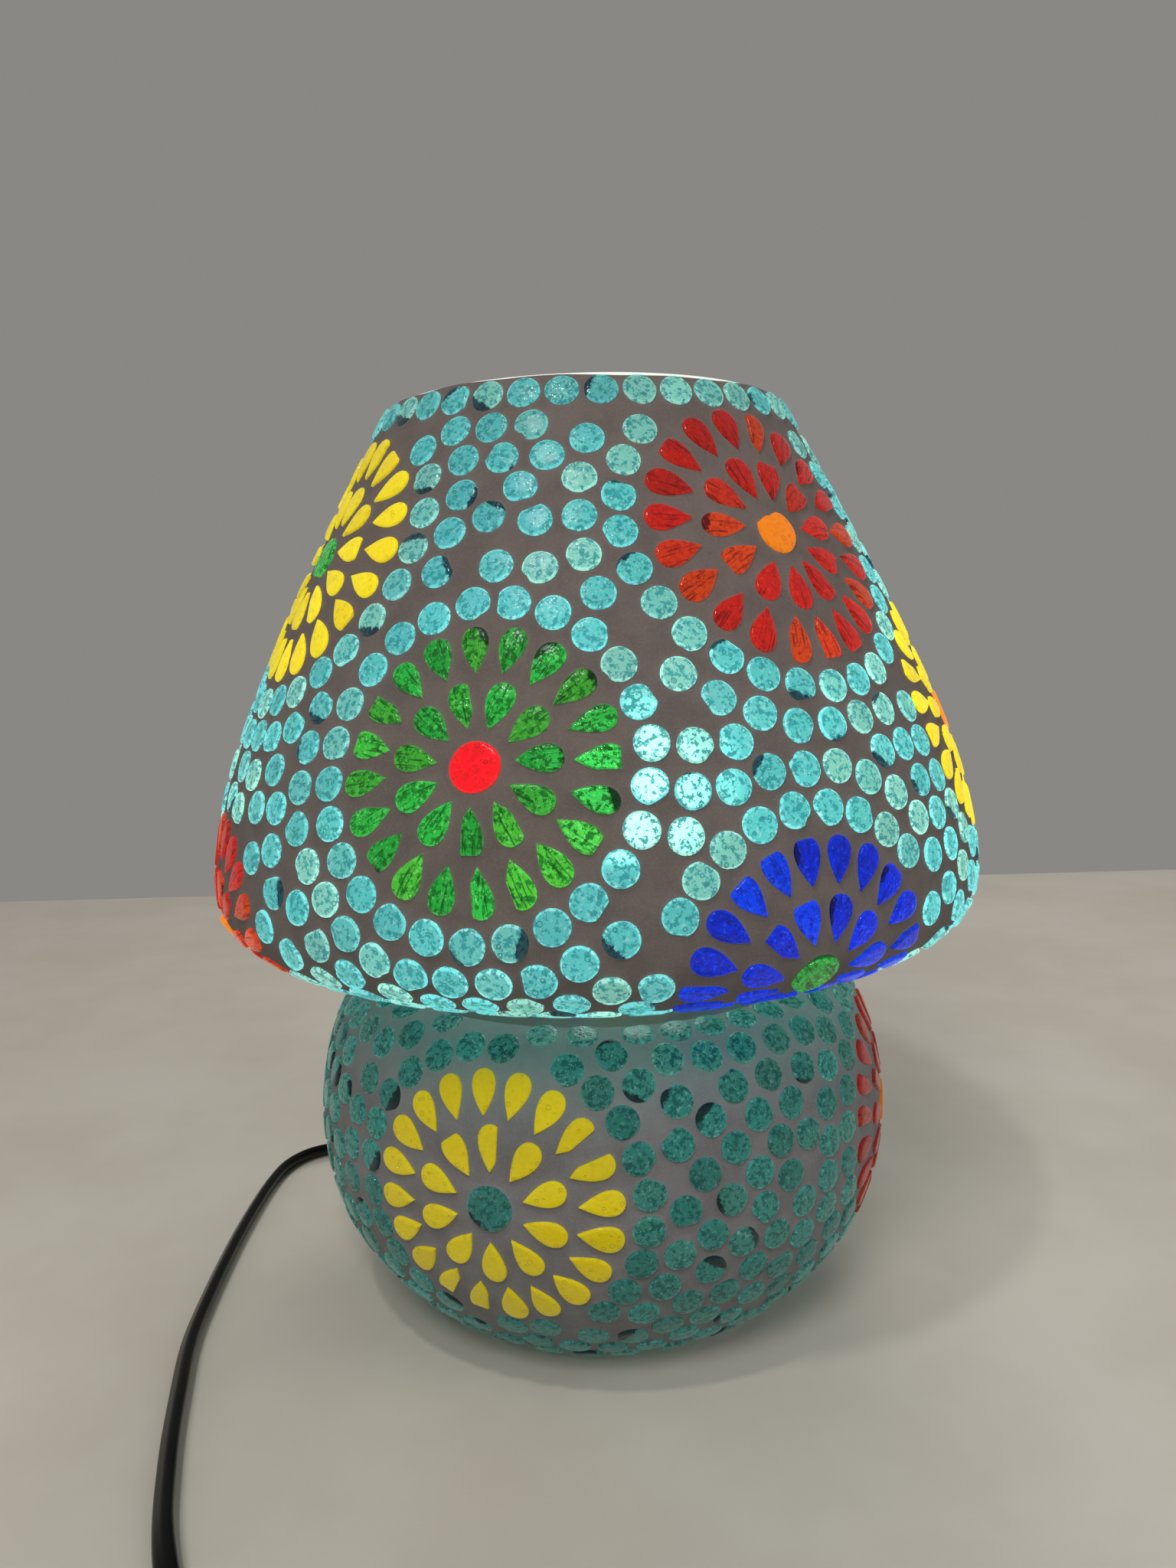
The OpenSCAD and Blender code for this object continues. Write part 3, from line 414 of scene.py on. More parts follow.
flex_line = flex_route()
flex = swept("flex", flex_line, flex_outline(), ROLLED_STRETCH)
flex.data.materials.append(flex_material())
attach(flex, "lamp")
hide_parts("cord_run", "cord_lead", "cord_coil", "cord_tail")
ON_THE_FLEX = ["switch_base", "switch_cover", "switch_rocker", "rocker_pin", "switch_contacts"]
ON_THE_FLEX += ["switch_terminals", "switch_screws", "plug_body", "plug_boot", "plug_pins"]


# ---------------------------------------------------------------- glass chips
TOP = 0.9
SUNK = 1.1
PROUD = TOP * MM
# each ring's share of the outline, and its height in millimetres
CHIP_RINGS = ((0.5, 0.89), (0.78, 0.84), (0.91, 0.73), (0.975, 0.56), (1.0, 0.32), (1.0, -SUNK))
dice = random.Random(2026)


class Chip:
    """One glass chip: where it sits, its own axes, and its outline across the surface."""

    def __init__(self, points, petal):
        middle = points.mean(0)
        spread = points - middle
        turn = np.linalg.svd(spread, full_matrices=False)[2]
        along, across, out = turn
        toward = middle - (SHADE_CENTRE if middle[2] > WAIST_Z else BASE_CENTRE)
        if out @ toward < 0:
            out = -out
        if petal and (spread @ along) @ (spread @ across) ** 2 < 0:
            along = -along
        across = np.cross(out, along)
        low = (spread @ along).min(), (spread @ across).min()
        high = (spread @ along).max(), (spread @ across).max()
        top = (spread @ out).max()
        self.along, self.across, self.out = along, across, out
        self.at = (
            middle
            + along * (low[0] + high[0]) / 2
            + across * (low[1] + high[1]) / 2
            + out * (top - PROUD)
        )
        self.size = (high[0] - low[0]) / 2, (high[1] - low[1]) / 2
        self.seed = [dice.random() for _ in range(3)]
        self.outline = self.petal_outline() if petal else self.dot_outline()
        self.angles = np.arctan2(self.outline[:, 1], self.outline[:, 0])
        order = np.argsort(self.angles)
        self.angles = self.angles[order]
        self.reach = np.hypot(*self.outline[order].T)

    def dot_outline(self):
        a = np.arange(26) * 2 * math.pi / 26
        r = self.size[0] * (
            0.985
            + 0.014 * np.sin(2 * a + 6.3 * dice.random())
            + 0.009 * np.sin(3 * a + 6.3 * dice.random())
            + 0.006 * np.sin(5 * a + 6.3 * dice.random())
        )
        if dice.random() < 0.3:
            r = np.minimum(r, self.cut(a, dice.uniform(0.78, 0.93)))
        if dice.random() < 0.07:
            from_nick = np.angle(np.exp(1j * (a - 6.3 * dice.random())))
            r -= 0.16 * self.size[0] * np.exp(-((from_nick / 0.28) ** 2))
        return np.c_[r * np.cos(a), r * np.sin(a)]

    def cut(self, a, depth):
        """How far out a straight cut leaves the outline, all round."""
        facing = np.maximum(np.cos(a - 6.3 * dice.random()), 0.05)
        return self.size[0] * depth / facing

    def petal_outline(self):
        a = np.arange(30) * 2 * math.pi / 30
        half, wide = self.size
        fat = dice.uniform(0.9, 1.0) * wide
        point = dice.uniform(0.95, 1.25)
        x = half * dice.uniform(0.95, 1.0) * np.cos(a)
        swell = np.sin(a) * np.abs(np.cos(a / 2)) ** point
        y = fat * swell / np.abs(swell).max()
        y += dice.uniform(-0.10, 0.10) * wide * np.sin(a / 2) ** 2
        if dice.random() < 0.22:
            side = dice.choice((-1, 1))
            y = side * np.minimum(side * y, fat * dice.uniform(0.55, 0.8))
        if dice.random() < 0.2:
            x = np.minimum(x, half * dice.uniform(0.72, 0.86))
        return np.c_[x, y]

    def reach_at(self, angle):
        return np.interp(angle, self.angles, self.reach, period=2 * math.pi)

    def local(self, points):
        gap = points - self.at
        return gap @ self.along, gap @ self.across


def chip_mesh(name, chips):
    """All the chips of a CAD node, each domed, with a rounded edge and its own uneven outline."""
    points, faces, local, seeds, glow = [], [], [], [], []
    # local holds a point's place across the chip and its share of the outline, or 2 on sides and back
    for chip in chips:
        start = len(points)
        n = len(chip.outline)
        rows = [(0.0, TOP), *CHIP_RINGS, (0.0, -SUNK)]
        tilt = [(chip.seed[k] - 0.5) * 0.025 for k in (0, 1)]
        for f, h in rows:
            ring = chip.outline * f if f else np.zeros((1, 2))
            rise = h * MM + (ring @ tilt) * (h > 0) * f
            rise = np.minimum(rise, PROUD) if h > 0 else rise
            spots = chip.at + ring[:, :1] * chip.along + ring[:, 1:] * chip.across + rise[:, None] * chip.out
            points.extend(spots)
            part = f if h > 0 else 2.0
            local.extend((x / chip.size[0], y / chip.size[1], part) for x, y in ring)
        seeds.extend([chip.seed] * (len(points) - start))
        first = start + 1
        faces.extend((start, first + k, first + (k + 1) % n) for k in range(n))
        for ring in range(len(CHIP_RINGS) - 1):
            a, b = first + ring * n, first + (ring + 1) * n
            faces.extend((a + k, b + k, b + (k + 1) % n, a + (k + 1) % n) for k in range(n))
        last = first + (len(CHIP_RINGS) - 1) * n
        faces.extend((last + n, last + (k + 1) % n, last + k) for k in range(n))
        glow.extend([lit(chip.at, chip.out)] * (len(points) - start))
    piece = add_mesh(name + "_glass", points, faces)
    point_attribute(piece, "chip", local)
    point_attribute(piece, "seed", seeds)
    point_attribute(piece, "glow", glow)
    return piece


SPREAD_LIGHT = 0.42
DIRECT_LIGHT = 0.66
FULL_LIGHT_AT = 88 * MM
SHADE_FOOT_Z = 110 * MM
SHADE_H = 130 * MM
FOOT_LIGHT = 0.20
UPPER_BASE_LIGHT = 0.16
FOOT_Z = 10 * MM


def lit(at, out):
    """How strongly the bulb lights the wall from behind: about 1 beside it, less above and below."""
    way = at - BULB
    far = np.linalg.norm(way)
    facing = max(float(way @ out) / far, 0.0)
    direct = facing * (FULL_LIGHT_AT / far) ** 2
    if at[2] > WAIST_Z:
        fall = 1.16 - 0.34 * (at[2] - SHADE_FOOT_Z) / SHADE_H
        return fall * (SPREAD_LIGHT + DIRECT_LIGHT * min(direct, 1.15))
    height = min(max((at[2] - FOOT_Z) / (80 * MM), 0), 1)
    return FOOT_LIGHT + UPPER_BASE_LIGHT * height


# in each colour set, face is the glass's own colour, glow the colour of the painted light through it, rim
# that of its painted pale rim and bright specks, dark that of the painted shade, fleck that of grain and
# bubble rings, shift a second tone, and clear the tint of what shows through
TEAL = dict(
    face=(0.015, 0.12, 0.12),
    glow=(0.15, 0.76, 0.76),
    fleck=(0.008, 0.19, 0.21),
    dark=(0.0, 0.008, 0.020),
    rim=(0.62, 0.97, 0.93),
    shift=(0.38, 0.86, 0.68),
    clear=(0.60, 0.94, 0.90),
)
SEA = dict(
    face=(0.005, 0.060, 0.050),
    glow=(0.06, 0.46, 0.38),
    fleck=(0.002, 0.10, 0.09),
    dark=(0.0, 0.008, 0.012),
    rim=(0.40, 0.90, 0.80),
    shift=(0.10, 0.44, 0.34),
    clear=(0.55, 0.92, 0.85),
)
GREEN = dict(
    face=(0.003, 0.045, 0.005),
    glow=(0.018, 0.49, 0.052),
    fleck=(0.003, 0.13, 0.012),
    dark=(0.0, 0.010, 0.002),
    rim=(0.22, 0.80, 0.20),
    shift=(0.07, 0.52, 0.03),
    clear=(0.30, 0.90, 0.40),
)
RED = dict(
    face=(0.09, 0.002, 0.002),
    glow=(0.52, 0.010, 0.005),
    fleck=(0.24, 0.004, 0.003),
    dark=(0.035, 0.0, 0.001),
    rim=(0.74, 0.05, 0.02),
    shift=(0.58, 0.055, 0.004),
    clear=(0.90, 0.22, 0.15),
)
YELLOW = dict(
    face=(0.60, 0.475, 0.006),
    glow=(0.63, 0.515, 0.005),
    fleck=(0.40, 0.30, 0.002),
    dark=(0.20, 0.13, 0.0),
    rim=(0.72, 0.63, 0.06),
    shift=(0.60, 0.44, 0.004),
    clear=(0.95, 0.85, 0.2),
)
BLUE = dict(
    face=(0.0, 0.006, 0.10),
    glow=(0.0, 0.018, 0.68),
    fleck=(0.0, 0.006, 0.26),
    dark=(0.0, 0.001, 0.04),
    rim=(0.03, 0.14, 0.95),
    shift=(0.0, 0.045, 0.80),
    clear=(0.20, 0.32, 0.96),
)
ORANGE = dict(
    face=(0.40, 0.10, 0.002),
    glow=(0.78, 0.20, 0.003),
    fleck=(0.58, 0.12, 0.002),
    dark=(0.25, 0.05, 0.0),
    rim=(0.85, 0.26, 0.02),
    shift=(0.78, 0.20, 0.003),
    clear=(0.98, 0.6, 0.2),
)


def chip_material(name, tones, clear, grain, crescent, fold_shade=0.0, spread=0.3, level=1.0):
    """Lit glass whose emission paints the bulb's light through it: fine grain, ringed bubbles, bright specks
    and a pale rim of painted light, painted shade along fold lines where asked, and a dark crescent where
    light misses the edge.
    """
    s = Shader(name)
    where = place_mm(s)
    seed = s.attribute("seed")
    chip = s.split(s.attribute("chip"))
    glow = s.attribute("glow", "Fac")
    dice_x, dice_y, dice_z = s.split(seed)
    moved = s.vector("ADD", where, s.scaled(seed, 40.0))
    fine = s.noise(moved, 0.85, 4.0, 0.68)
    clots = s.noise(moved, 0.35, 3.0, 0.6)
    mottle = s.math("ADD", s.math("MULTIPLY", fine, 0.8), s.math("MULTIPLY", clots, 0.2))
    grains = s.math("MULTIPLY", s.step(mottle, 0.505, 0.55), grain)
    # bright specks of painted light in the glass
    sparks = s.math("MULTIPLY", s.step(s.noise(moved, 1.2, 2.0, 0.6), 0.58, 0.64), grain)
    bubble = s.cells(moved, 0.50)
    size = s.math("MULTIPLY", s.split(s.cells(moved, 0.50, "Color"))[0], 0.26)
    ring = s.math("ABSOLUTE", s.math("SUBTRACT", bubble, s.math("ADD", size, 0.04)))
    ring = s.math("MULTIPLY", s.step(ring, 0.03, 0.09, 1.0, 0.0), s.step(size, 0.11, 0.15))
    angle = s.math("MULTIPLY", dice_x, 6.2832)
    lean = s.math(
        "ADD",
        s.math("MULTIPLY", chip[0], s.math("COSINE", angle)),
        s.math("MULTIPLY", chip[1], s.math("SINE", angle)),
    )
    ragged = s.math("MULTIPLY", s.math("SUBTRACT", s.noise(moved, 0.8, 4.0, 0.6), 0.5), 0.7)
    limit = s.math("SUBTRACT", 1.30, s.math("MULTIPLY", s.math("POWER", dice_y, 3.0), crescent))
    dark = s.step(s.math("ADD", lean, ragged), limit, s.math("ADD", limit, 0.16))
    # a pale rim of painted light at the chip's edge and sides
    rim = s.step(chip[2], 0.86, 1.0)
    tone = s.math("ADD", 1.12 - spread, s.math("MULTIPLY", dice_z, spread))
    colour = s.mix(s.step(dice_x, 0.5, 0.8), tones["glow"], tones["shift"])
    colour = s.mix(s.math("MULTIPLY", sparks, 0.7), colour, tones["rim"])
    colour = s.mix(grains, colour, tones["fleck"])
    # painted shade in lines along the petal, standing in for folds in the glass
    if fold_shade:
        along = s.math("MULTIPLY", chip[0], 0.45)
        across = s.math("MULTIPLY", chip[1], 2.8)
        lines = s.node("ShaderNodeCombineXYZ", 0, {0: along, 1: across, 2: s.math("MULTIPLY", dice_z, 50.0)})
        crease_shade = s.step(s.noise(lines, 1.7, 3.0, 0.6), 0.53, 0.63)
        colour = s.mix(s.math("MULTIPLY", crease_shade, fold_shade), colour, tones["dark"])
    colour = s.mix(s.math("MULTIPLY", ring, 0.8), colour, tones["fleck"])
    colour = s.mix(s.math("MULTIPLY", rim, 0.10), colour, tones["rim"])
    colour = s.mix(s.math("MULTIPLY", dark, 0.93), colour, tones["dark"])
    # the emission paints the bulb's light through the chip, as strong as the glow attribute
    strength = s.math("MULTIPLY", s.math("MULTIPLY", glow, tone), level)
    body = s.mix(dark, tones["face"], tones["dark"])
    ripple = s.math("MULTIPLY", s.noise(moved, 1.3, 3.0, 0.5), 0.5)
    height = s.math("ADD", ripple, s.math("MULTIPLY", ring, -0.6))
    glass = s.principled(
        Base_Color=body,
        Roughness=0.09,
        IOR=1.5,
        Emission_Color=colour,
        Emission_Strength=strength,
        Normal=s.bump(height, 0.00045, 0.7),
    )
    if clear:
        through = s.node("ShaderNodeBsdfTransparent", 0, {"Color": tones["clear"]})
        amount = s.math("MULTIPLY", s.math("SUBTRACT", 1.0, s.math("MAXIMUM", grains, dark)), clear)
        amount = s.math("MULTIPLY", amount, s.step(chip[2], 0.84, 0.93, 1.0, 0.0))
        amount = s.math("MAXIMUM", amount, s.step(chip[2], 1.2, 1.6))
        glass = s.node("ShaderNodeMixShader", 0, {0: amount, 1: glass, 2: through})
    s.material.cycles.emission_sampling = "NONE"
    return s.finish(glass)


EYE_RED = dict(RED, glow=(0.72, 0.004, 0.010), shift=(0.72, 0.004, 0.010))

teal_glass = chip_material("teal_glass", TEAL, clear=0.45, grain=0.90, crescent=1.0)
sea_glass = chip_material("sea_glass", SEA, clear=0.20, grain=0.90, crescent=1.05, spread=0.45)
green_glass = chip_material("green_glass", GREEN, clear=0.1, grain=0.9, crescent=0.8, fold_shade=0.8, spread=0.55)
red_glass = chip_material("red_glass", RED, clear=0.04, grain=0.50, crescent=0.8, fold_shade=0.7, spread=0.35)
yellow_glass = chip_material("yellow_glass", YELLOW, clear=0.0, grain=0.40, crescent=0.1, fold_shade=0.06)
blue_glass = chip_material("blue_glass", BLUE, clear=0.06, grain=0.60, crescent=0.8, fold_shade=0.5, spread=0.4)
orange_glass = chip_material("orange_glass", ORANGE, clear=0.0, grain=0.40, crescent=0.0)
eye_red = chip_material("eye_red", EYE_RED, clear=0.03, grain=0.35, crescent=0.0, spread=0.1, level=1.25)

CHIP_NODES = {}
for bead in ("rim_beads", "shade_ring_beads", "shade_field_beads", "shade_floor_beads"):
    CHIP_NODES[bead] = teal_glass, "teal_glass", False
for bead in ("base_ring_beads", "base_field_beads", "base_floor_beads", "teal_eyes"):
    CHIP_NODES[bead] = sea_glass, "dark_teal_glass", False
PETAL_GLASS = {"green": green_glass, "red": red_glass, "yellow": yellow_glass, "blue": blue_glass}
for colour, glass in PETAL_GLASS.items():
    for part in ("shade", "base"):
        CHIP_NODES[f"{part}_{colour}_petals"] = glass, f"{colour}_glass", True
for colour, glass in (("green", green_glass), ("red", eye_red), ("orange", orange_glass)):
    CHIP_NODES[f"{colour}_eyes"] = glass, f"{colour}_glass", False


def dress(piece, material, slot, body, *nodes):
    """Gives a piece its material, the body it rides on and the CAD nodes it stands for, which it hides. The
    slot is not used.
    """
    piece.data.materials.clear()
    piece.data.materials.append(material)
    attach(piece, body)
    if nodes:
        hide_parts(*nodes)
    return piece


all_chips = []
for node, (glass, slot_name, petal) in CHIP_NODES.items():
    chips = [Chip(points, petal) for points in loose_parts(node)]
    all_chips += chips
    dress(chip_mesh(node, chips), glass, slot_name, "lamp", node)


# ---------------------------------------------------------------- grout
SEARCH_CELL = 6 * MM
FAR_FROM_CHIPS = 4 * MM
UNDER_CHIP = 0.7 * MM
CORD_HOLE_R = 5.8 * MM
LIP_RISE = 0.28 * MM
LIP_WIDTH = 0.5 * MM
BED_DEPTH = 0.10 * MM
BED_WAVE = 0.03 * MM


def grid_mesh(name, line, step, chips, hole=None, rim=False):
    """Grout over the whole profile, open under every chip, and drawn up a little against their edges."""
    line = resampled(smooth_route(line, 5), step)
    turns = round(2 * math.pi * line[:, 0].max() / step)
    angle = np.arange(turns) * 2 * math.pi / turns
    slope = np.gradient(line, axis=0)
    slope /= np.linalg.norm(slope, axis=1)[:, None]
    out = np.c_[-slope[:, 1], slope[:, 0]]
    radial = np.stack([np.sin(angle), -np.cos(angle), np.zeros(turns)], -1)
    points = line[:, None, :1] * radial + np.array((0, 0, 1)) * line[:, None, 1:]
    normals = out[:, None, :1] * radial + np.array((0, 0, 1)) * out[:, None, 1:]
    if rim:
        wander = 0.62 + 0.22 * np.sin(2 * angle + 0.6) + 0.14 * np.sin(5 * angle) + 0.1 * np.sin(13 * angle)
        fade = np.clip(1 - np.arange(len(line)) / 6, 0, 1)
        points[:, :, 2] -= fade[:, None] * wander * MM
    points, normals = points.reshape(-1, 3), normals.reshape(-1, 3)
    gap = np.full(len(points), FAR_FROM_CHIPS)
    inside = np.zeros(len(points), bool)
    keys = np.floor(points / SEARCH_CELL).astype(np.int64)
    order = np.lexsort(keys.T)
    sorted_keys = keys[order]
    edges = np.flatnonzero(np.any(np.diff(sorted_keys, axis=0), axis=1)) + 1
    table = {tuple(keys[group[0]]): group for group in np.split(order, edges)}
    for chip in chips:
        wide = chip.reach.max() + 2.5 * MM
        low, high = (np.floor((chip.at + d * wide) / SEARCH_CELL).astype(int) for d in (-1, 1))
        near = [
            table[(x, y, z)]
            for x in range(low[0], high[0] + 1)
            for y in range(low[1], high[1] + 1)
            for z in range(low[2], high[2] + 1)
            if (x, y, z) in table
        ]
        if not near:
            continue
        near = np.concatenate(near)
        x, y = chip.local(points[near])
        away = np.hypot(x, y) - chip.reach_at(np.arctan2(y, x))
        gap[near] = np.minimum(gap[near], away)
        inside[near] |= away < -UNDER_CHIP
    if hole is not None:
        inside |= np.linalg.norm(points - hole, axis=1) < CORD_HOLE_R
    waves = sum(
        np.sin(points @ np.array(way) * 1000 + phase)
        for way, phase in (((0.21, 0.13, 0.17), 0), ((-0.11, 0.27, 0.19), 2), ((0.31, -0.23, 0.12), 4))
    )
    rise = LIP_RISE * np.exp(-np.maximum(gap, 0) / LIP_WIDTH) - BED_DEPTH + BED_WAVE * waves
    points = points + normals * rise[:, None]
    rows = len(line)
    grid = np.arange(rows * turns).reshape(rows, turns)
    a, b = grid[:-1], grid[1:]
    faces = np.stack([a, b, np.roll(b, -1, 1), np.roll(a, -1, 1)], -1).reshape(-1, 4)
    faces = faces[~inside[faces].all(1)]
    used = np.unique(faces)
    fresh = np.zeros(len(points), dtype=np.int64)
    fresh[used] = np.arange(len(used))
    piece = add_mesh(name, points[used], fresh[faces])
    point_attribute(piece, "gap", gap[used] * 1000)
    return piece


def grout_material(name, plain, pale, stain, glow_colour, glow, pool_height=90.0, pool_strength=0.0):
    """Sandy, unevenly stained grout with a faint glow of painted light, stronger near chip edges and towards
    the light pool's height.
    """
    s = Shader(name)
    where = place_mm(s)
    gap = s.attribute("gap", "Fac")
    cloud = s.noise(where, 0.09, 4.0, 0.6)
    sand = s.noise(where, 2.2, 3.0, 0.7)
    fine = s.noise(where, 6.0, 2.0, 0.6)
    near = s.step(gap, 0.0, 0.9, 1.0, 0.0)
    colour = s.mix(s.step(cloud, 0.35, 0.68), plain, stain)
    colour = s.mix(s.math("MULTIPLY", s.step(sand, 0.45, 0.7), 0.22), colour, pale)
    colour = s.mix(s.math("MULTIPLY", near, 0.10), colour, pale)
    height = s.math("ADD", s.math("MULTIPLY", sand, 0.6), s.math("MULTIPLY", fine, 0.4))
    # a painted pool of light: none 26 mm below the given height, full at it and above; on the base this is
    # light falling from the shade's underside
    high = s.math("MULTIPLY", s.step(s.split(where)[2], pool_height - 26.0, pool_height), pool_strength)
    # the rest of the painted glow, a little stronger near a chip's edge
    even = s.math("ADD", 0.8, s.math("MULTIPLY", near, 0.2))
    lit_part = s.math("ADD", s.math("MULTIPLY", even, glow), high)
    grout = s.principled(
        Base_Color=colour,
        Roughness=s.step(sand, 0.3, 0.7, 0.72, 0.92),
        IOR=1.35,
        Emission_Color=glow_colour,
        Emission_Strength=lit_part,
        Normal=s.bump(height, 0.00018, 0.6),
    )
    s.material.cycles.emission_sampling = "NONE"
    # under a chip the bed is open, so the light behind shows through the chip
    opening = s.node("ShaderNodeBsdfTransparent", 0, {"Color": (1.0, 1.0, 1.0)})
    beside = s.math("GREATER_THAN", gap, -0.25)
    return s.finish(s.node("ShaderNodeMixShader", 0, {0: beside, 1: opening, 2: grout}))


shade_line = outer_line("shade_grout", 0.150)
base_line = outer_line("base_grout", 0.050)
shade_grout_look = grout_material(
    "shade_grout",
    plain=(0.142, 0.110, 0.100),
    pale=(0.26, 0.225, 0.205),
    stain=(0.112, 0.086, 0.078),
    glow_colour=(0.30, 0.31, 0.28),
    glow=0.075,
)
base_grout_look = grout_material(
    "base_grout",
    plain=(0.215, 0.20, 0.205),
    pale=(0.36, 0.34, 0.34),
    stain=(0.175, 0.155, 0.160),
    glow_colour=(0.16, 0.36, 0.32),
    glow=0.04,
    pool_height=91.0,
    pool_strength=0.22,
)
shade_chips = [c for c in all_chips if c.at[2] > WAIST_Z]
base_chips = [c for c in all_chips if c.at[2] <= WAIST_Z]
grout_step = 0.85 * MM
shade_bed = grid_mesh("shade_grout_bed", shade_line, grout_step * 1.05, shade_chips, rim=True)
dress(shade_bed, shade_grout_look, "shade_grout", "lamp", "shade_grout")
base_bed = grid_mesh("base_grout_bed", base_line, grout_step, base_chips, hole_at)
dress(base_bed, base_grout_look, "base_grout", "lamp", "base_grout")


# ---------------------------------------------------------------- turned and softened pieces
def lathe(name, outline, sides=48):
    """A solid ring turned from its closed outline, given as radius and height."""
    turns = [2 * math.pi * k / sides for k in range(sides)]
    points = [(r * math.cos(a), r * math.sin(a), z) for r, z in outline for a in turns]
    faces = []
    for i in range(len(outline)):
        low, high = i * sides, (i + 1) % len(outline) * sides
        for k, far in enumerate([*range(1, sides), 0]):
            faces.append((low + k, low + far, high + far, high + k))
    return add_mesh(name, points, faces)


def shade_by_angle(piece, degrees=40):
    """Smooth shading, broken at edges sharper than the given angle."""
    mesh = bmesh.new()
    mesh.from_mesh(piece.data)
    limit = math.radians(degrees)
    for face in mesh.faces:
        face.smooth = True
    for edge in mesh.edges:
        edge.smooth = len(edge.link_faces) != 2 or edge.calc_face_angle(0) < limit
    mesh.to_mesh(piece.data)
    mesh.free()
    return piece


def softened(node, width, name=None):
    """A CAD node's own shape with its sharp edges rounded over."""
    mesh = bmesh.new()
    mesh.from_mesh(NODES[node].data)
    bmesh.ops.remove_doubles(mesh, verts=mesh.verts, dist=2e-6)
    bmesh.ops.dissolve_limit(
        mesh, angle_limit=math.radians(1.5), verts=mesh.verts, edges=mesh.edges, delimit={"NORMAL"}
    )
    data = bpy.data.meshes.new(name or node + "_soft")
    mesh.to_mesh(data)
    mesh.free()
    piece = bpy.data.objects.new(name or node + "_soft", data)
    view.collection.objects.link(piece)
    bevel = piece.modifiers.new("bevel", "BEVEL")
    bevel.width = width
    bevel.segments = 3
    bevel.limit_method = "ANGLE"
    bevel.angle_limit = math.radians(25)
    bevel.use_clamp_overlap = True
    made = bpy.data.meshes.new_from_object(piece.evaluated_get(bpy.context.evaluated_depsgraph_get()))
    piece.modifiers.clear()
    piece.data = made
    return shade_by_angle(piece)


def solid_look(name, colour, rough, wear, grain, bump, metal=False, coat=0.0):
    """Moulded or metal surfaces, with fine grain of a depth in millimetres, faint marks and uneven gloss."""
    s = Shader(name)
    where = place_mm(s)
    fine = s.noise(where, grain, 4.0, 0.6)
    patch = s.noise(where, 0.12, 3.0, 0.6)
    marks = s.step(s.noise(where, 0.7, 5.0, 0.7), 0.56, 0.72)
    darker = tuple(c * (1 - wear * 2) for c in colour)
    lighter = tuple(min(1, c * (1 + wear) + wear * 0.02) for c in colour)
    tone = s.mix(s.step(patch, 0.3, 0.7), darker, lighter)
    tone = s.mix(s.math("MULTIPLY", marks, wear), tone, lighter)
    gloss = s.math("ADD", rough, s.math("MULTIPLY", s.math("SUBTRACT", fine, 0.5), 0.22))
    gloss = s.math("ADD", gloss, s.math("MULTIPLY", marks, 0.08), clamp=True)
    return s.finish(
        s.principled(
            Base_Color=tone,
            Metallic=float(metal),
            Roughness=gloss,
            Coat_Weight=coat,
            Normal=s.bump(fine, bump * MM, 0.6),
        )
    )


# ---------------------------------------------------------------- clear glass
def glass_material():
    s = Shader("clear_glass")
    where = place_mm(s)
    seeds = s.step(s.cells(where, 0.28), 0.05, 0.09, 1.0, 0.0)
    cloud = s.noise(where, 0.05, 3.0, 0.5)
    height = s.split(where)[2]
    rim = s.step(height, 238.6, 239.4)
    uneven = s.math("ADD", s.noise(where, 0.15, 3.0, 0.5), s.math("MULTIPLY", seeds, 0.3))
    # the glass glows faintly all over with painted light, and a warm line of painted light runs round the
    # rim's top
    glass = s.principled(
        Base_Color=(0.80, 0.90, 0.90),
        Roughness=s.step(cloud, 0.3, 0.7, 0.10, 0.22),
        IOR=1.5,
        Emission_Color=(1.0, 0.96, 0.80),
        Emission_Strength=s.math("ADD", 0.05, s.math("MULTIPLY", rim, 0.38)),
        Normal=s.bump(uneven, 0.0006, 0.35),
    )
    clear = s.node("ShaderNodeBsdfTransparent", 0, {"Color": (0.93, 0.98, 0.97)})
    frost = s.node("ShaderNodeBsdfRefraction", 0, {"Color": (0.95, 1.0, 1.0), "Roughness": 0.30, "IOR": 1.25})
    through = s.node("ShaderNodeMixShader", 0, {0: 0.5, 1: clear, 2: frost})
    solid = s.math("ADD", s.math("ADD", 0.10, s.math("MULTIPLY", seeds, 0.25)), s.math("MULTIPLY", rim, 0.6))
    s.material.cycles.emission_sampling = "NONE"
    return s.finish(s.node("ShaderNodeMixShader", 0, {0: solid, 1: through, 2: glass}))


def glass_vessel():
    """The blown vessel as the CAD has it, with its cut rim fire polished."""
    mesh = bmesh.new()
    mesh.from_mesh(NODES["glass_body"].data)
    bmesh.ops.remove_doubles(mesh, verts=mesh.verts, dist=2e-6)
    top = max(v.co.z for v in mesh.verts)
    rim = [
        e
        for e in mesh.edges
        if all(abs(v.co.z - top) < 1e-5 for v in e.verts)
        and abs(math.hypot(*e.verts[0].co.xy) - math.hypot(*e.verts[1].co.xy)) < 2e-4
    ]
    bmesh.ops.bevel(mesh, geom=rim, offset=0.0009, segments=4, profile=0.6, affect="EDGES")
    data = bpy.data.meshes.new("glass_vessel")
    mesh.to_mesh(data)
    mesh.free()
    piece = bpy.data.objects.new("glass_vessel", data)
    view.collection.objects.link(piece)
    return shade_by_angle(piece, 50)


dress(glass_vessel(), glass_material(), "clear_glass", "lamp", "glass_body")


